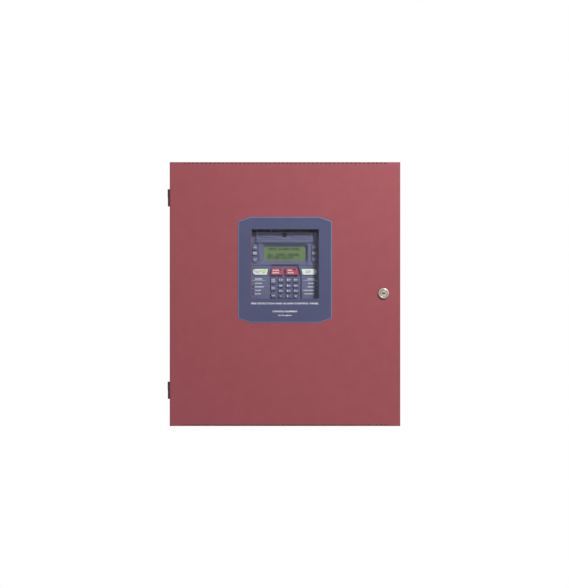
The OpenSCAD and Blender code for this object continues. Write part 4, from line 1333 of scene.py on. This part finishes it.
def makeCapacitors():
    low, high = boxMm("filter_capacitors")
    top, r = low.y, bigCans["diameter"] / 2
    inset, deep, half = bigCans["vent"]
    pieces = []
    for x, z in ((low.x + r, high.z - r), (high.x - r, high.z - r), (low.x + r, low.z + r)):
        can = canPiece(bigCans, x, z, bigCans["diameter"], top)
        for angle in bigCans["ventAngles"]:
            vent = block("cut", (inset - r, -deep, -half), (r - inset, deep, half))
            vent.rotation_euler = (0, math.radians(angle), 0)
            vent.location = Vector((x, top + bigCans["dish"], z)) * mm
            carve(can, settle(vent, "cut"))
        pieces.append(can)
    hand(joinAll("filter_capacitor_cans", pieces), "cabinet", "capacitor_sleeve", "filter_capacitors")


makeCapacitors()

transformer = {"coreEdge": 0.5, "coilRound": 3, "flange": 1.5, "flangeEdge": 0.3}


def makeTransformer():
    soften("transformer_core", laminatedSteel, "cabinet", "core_steel", transformer["coreEdge"])
    low, high = boxMm("transformer_coil")
    coil = copyOfNode("transformer_coil", "transformer_winding")
    pickEdges(coil, lambda a, b: abs(a.x - b.x) < 0.01 and abs(a.y - b.y) < 0.01)
    bevelPicked(transformer["coilRound"], 4)
    paint(coil, yellowTape)
    flanges = []
    thick = transformer["flange"]
    for z in (low.z, high.z - thick):
        flange = copyOfNode("transformer_coil", "flange")
        carve(flange, block("cut", (low.x - 5, low.y - 5, z + thick), (high.x + 5, high.y + 5, high.z + 9)),
              block("cut", (low.x - 5, low.y - 5, low.z - 9), (high.x + 5, high.y + 5, z)))
        flanges.append(paint(roundEdges(flange, transformer["flangeEdge"], 2), blackPlastic))
    hand(joinAll("transformer_winding", [coil] + flanges), "cabinet", "coil_tape", "transformer_coil")


makeTransformer()

batteries = {
    "wide": 151, "labelHalf": 52, "labelSpan": (22, 74), "labelProud": 0.25, "labelCorner": 3,
    "terminalEdge": 0.15,
    "words": (("SEALED BATTERY", 60, 6), ("12 V", 44, 10), ("RECHARGEABLE", 29, 3.4)), "bold": 0.06,
}


def makeBatteries():
    case = copyOfNode("battery_cases", "battery_cases_moulded", wholeFaces=False)
    hand(paint(case, batteryPlastic), "cabinet", "battery_plastic", "battery_cases")
    low, high = boxMm("battery_cases")
    front, half = low.y - batteries["labelProud"], batteries["labelHalf"]
    bottom, top = batteries["labelSpan"]
    labels, words = [], []
    for middle in (low.x + batteries["wide"] / 2, high.x - batteries["wide"] / 2):
        labels.append(roundedBlock("label", (middle - half, front, low.z + bottom),
                                   (middle + half, low.y + sunk, low.z + top), batteries["labelCorner"]))
        for text, up, tall in batteries["words"]:
            words.append(legend(text, middle, low.z + up, front, tall, None, "CENTER", batteries["bold"]))
    hand(paint(joinAll("battery_labels", labels), greyInk), "cabinet", "battery_plastic")
    hand(paint(joinAll("battery_lettering", words), darkPaint), "cabinet", "battery_plastic")
    soften("battery_terminals", nickelSteel, "cabinet", "nickel_plate", batteries["terminalEdge"])


makeBatteries()

leads = {
    "wire": 2.6, "routeY": -46, "plugX": -20, "plugFront": -50, "plugSpan": (-5, 11), "plugUp": (2, 16),
    "pins": (0, 6), "pinHole": (1.7, 8, 14, 1.4), "terminals": (4, 135), "tipUp": 7, "topUp": 14,
    "boot": (1.6, 4), "bootSpan": (2.4, 9), "bootEdge": 0.8, "plugEdge": 0.4,
}


def makeWire(name, points, diameter, sides=12):
    # a round wire along a smooth curve through the points
    data = bpy.data.curves.new(name, "CURVE")
    data.dimensions = "3D"
    data.bevel_depth = diameter / 2 * mm
    data.bevel_resolution = sides // 4
    data.resolution_u = 10
    data.use_fill_caps = True
    line = data.splines.new("BEZIER")
    line.bezier_points.add(len(points) - 1)
    for spot, point in zip(line.bezier_points, points):
        spot.co = Vector(point) * mm
        spot.handle_left_type = spot.handle_right_type = "AUTO"
    obj = bpy.data.objects.new(name, data)
    bpy.context.scene.collection.objects.link(obj)
    takeUp(obj)
    bpy.ops.object.convert(target="MESH")
    return bpy.context.object


def makeLeads():
    low, high = boxMm("battery_terminals")
    plugX, routeY, edgeZ = leads["plugX"], leads["routeY"], boardLow.z
    y, tip, top = (low.y + high.y) / 2, low.z + leads["tipUp"], low.z + leads["topUp"]
    outer, inner = leads["terminals"]
    plus, linkStart, linkEnd, minus = low.x + outer, low.x + inner, high.x - inner, high.x - outer
    routes = (
        ("red", redSleeve, ((plus, y, tip), (plus, y, top), (plus + 12, routeY, top + 16),
                            (plugX - 20, routeY, top + 20), (plugX, routeY, edgeZ - 14),
                            (plugX, routeY, edgeZ + 1.8))),
        ("black", blackSleeve, ((minus, y, tip), (minus, y, top + 2), (minus - 8, routeY, top + 16),
                                (plugX + 24, routeY, top + 20), (plugX + 6, routeY, edgeZ - 14),
                                (plugX + 6, routeY, edgeZ + 1.8))),
        ("link", blackSleeve, ((linkStart, y, tip), (linkStart + 1, y, top + 1), (linkEnd - 1, y, top + 1),
                               (linkEnd, y, tip))),
    )
    halfWide, halfDeep = leads["boot"]
    bootLow, bootHigh = leads["bootSpan"]
    for name, sleeve, route in routes:
        pieces = [makeWire("battery_lead_" + name, route, leads["wire"])]
        for x in (plus, linkStart, linkEnd, minus):
            if x in (route[0][0], route[-1][0]):
                boot = block("boot", (x - halfWide, y - halfDeep, low.z + bootLow),
                             (x + halfWide, y + halfDeep, low.z + bootHigh))
                pieces.append(roundEdges(boot, leads["bootEdge"], 3))
        wire = paint(joinAll("battery_lead_" + name, pieces), sleeve)
        hand(wire, "cabinet", "wire_sleeve", "battery_leads")
    (left, right), (bottom, above), front = leads["plugSpan"], leads["plugUp"], leads["plugFront"]
    plug = block("battery_plug", (plugX + left, front, edgeZ + bottom),
                 (plugX + right, boardFace, edgeZ + above))
    half, holeLow, holeHigh, deep = leads["pinHole"]
    for pin in leads["pins"]:
        x = plugX + pin
        carve(plug, block("cut", (x - half, front - 1, edgeZ + holeLow),
                          (x + half, front + deep, edgeZ + holeHigh)))
    plug = paint(roundEdges(plug, leads["plugEdge"], 2), keyWhitePlastic)
    hand(plug, "cabinet", "wire_sleeve", "battery_leads")


makeLeads()

ribbon = {
    "wires": 24, "margin": 2, "fullness": 1.04, "outward": 9, "inward": 8, "socketEdge": 0.5,
    # height of the points, with how far they are from the outer or the inner socket's wires
    "outer": ((0, 120), (0.3, 106), (-9.8, 97.5)), "inner": ((10.2, 73.5), (0.4, 66), (0.5, 52)),
    "outerSocket": (110, 122, 0.4), "innerSocket": (50, 62, 0.9),
}


def makeRibbon():
    low, high = boxMm("ribbon_cable")
    boardBack = boxMm("display_board")[1].y
    outY, inY = boardFace - ribbon["outward"], boardBack + ribbon["inward"]
    left = low.x + ribbon["margin"]
    pitch = (high.x - ribbon["margin"] - left) / ribbon["wires"]
    route = [(outY + off, up) for off, up in ribbon["outer"]]
    route += [(inY + off, up) for off, up in ribbon["inner"]]
    first = makeWire("ribbon_cable_cores", [(left + pitch / 2, y, z) for y, z in route],
                     pitch * ribbon["fullness"], 8)
    cores = repeat(first, [(i * pitch, 0, 0) for i in range(1, ribbon["wires"])])
    for i, core in enumerate(cores):
        paint(core, redSleeve if i == 0 else ribbonGrey)
    hand(joinAll("ribbon_cable_cores", cores), "cabinet", "ribbon_plastic", "ribbon_cable")
    bottom, top, over = ribbon["outerSocket"]
    sockets = [block("socket", (low.x, outY - over, bottom), (high.x, boardFace, top))]
    bottom, top, over = ribbon["innerSocket"]
    sockets.append(block("socket", (low.x, boardBack, bottom), (high.x, inY + over, top)))
    for socket in sockets:
        roundEdges(socket, ribbon["socketEdge"], 2)
    sockets = paint(joinAll("ribbon_cable_sockets", sockets), blackPlastic)
    hand(sockets, "cabinet", "ribbon_plastic", "ribbon_cable")


makeRibbon()
soften("keypad_mat", rubberMat, "cabinet", "mat_rubber")
print("inside made")

stage = {
    "doorFace": -0.1365,
    "cameraDistance": 3.0,  # from the door's face
    "cameraX": -0.00093,
    "cameraZ": 0.00013,
    "viewHeight": 1.089,  # height of the view at the door's face
    "sensor": 36,
    "floorSize": (7, 6),
    "floorEnd": 0.9,
    "floorZ": -0.76,
    "paperGrain": 300,
    "fill": 0.18,  # strength of the white surroundings on the object
    "key": ((0.9, -1.42, 1.2), 40, 0.25),  # place from the front, watts, size
    "back": ((-1.6, 2.6, 1.9), 60, 1.6),  # lights the sides and the back
}


def setStage():
    front = Vector((0, cadLow[1], 0))
    world = bpy.data.worlds.new("studio")
    bpy.context.scene.world = world
    world.use_nodes = True
    tree = world.node_tree
    tree.nodes.clear()
    path = addNode(tree, "ShaderNodeLightPath")
    seen = addNode(tree, "ShaderNodeMath", {"operation": "MAXIMUM"})
    tree.links.new(path.outputs["Is Camera Ray"], seen.inputs[0])
    tree.links.new(path.outputs["Is Transmission Ray"], seen.inputs[1])
    shown = addNode(tree, "ShaderNodeMath", {"operation": "MAXIMUM"}, {0: seen.outputs[0]})
    tree.links.new(path.outputs["Is Glossy Ray"], shown.inputs[1])
    soft = addNode(tree, "ShaderNodeBackground", {"Color": (1, 1, 1, 1), "Strength": stage["fill"]})
    white = addNode(tree, "ShaderNodeBackground", {"Color": (1, 1, 1, 1), "Strength": 1.0})
    mix = addNode(tree, "ShaderNodeMixShader")
    tree.links.new(shown.outputs[0], mix.inputs[0])
    tree.links.new(soft.outputs[0], mix.inputs[1])
    tree.links.new(white.outputs[0], mix.inputs[2])
    addNode(tree, "ShaderNodeOutputWorld", links={"Surface": mix.outputs[0]})

    clearSelection()
    bpy.ops.mesh.primitive_plane_add(size=1)
    floor = bpy.context.object
    wide, deep = stage["floorSize"]
    floor.scale = (wide, deep, 1)
    floor.location = (0, stage["floorEnd"] - deep / 2, stage["floorZ"])
    settle(floor, "studio_floor")
    material, tree, place = newMaterial("matt_white_paper")
    colour = twoTone(tree, noise(tree, place, stage["paperGrain"]), "#DADADA", "#DEDEDE")
    close(tree, addNode(tree, "ShaderNodeBsdfPrincipled", {"Roughness": 0.8}, {"Base Color": colour}))
    paint(floor, material)

    def lamp(name, offset, power, size):
        data = bpy.data.lights.new(name, "AREA")
        data.energy = power
        data.shape = "SQUARE"
        data.size = size
        obj = bpy.data.objects.new(name, data)
        bpy.context.scene.collection.objects.link(obj)
        obj.location = front + Vector(offset)
        obj.rotation_euler = (-Vector(offset)).to_track_quat("-Z", "Y").to_euler()
        obj.visible_camera = False

    lamp("key_light", *stage["key"])
    lamp("back_light", *stage["back"])

    data = bpy.data.cameras.new("camera")
    data.sensor_width = stage["sensor"]
    data.lens = stage["sensor"] * stage["cameraDistance"] / stage["viewHeight"]
    camera = bpy.data.objects.new("camera", data)
    bpy.context.scene.collection.objects.link(camera)
    camera.location = (stage["cameraX"], stage["doorFace"] - stage["cameraDistance"], stage["cameraZ"])
    camera.rotation_euler = (math.radians(90), 0, 0)
    bpy.context.scene.camera = camera
    bpy.context.scene.view_settings.view_transform = "Standard"


setStage()
print("stage set")
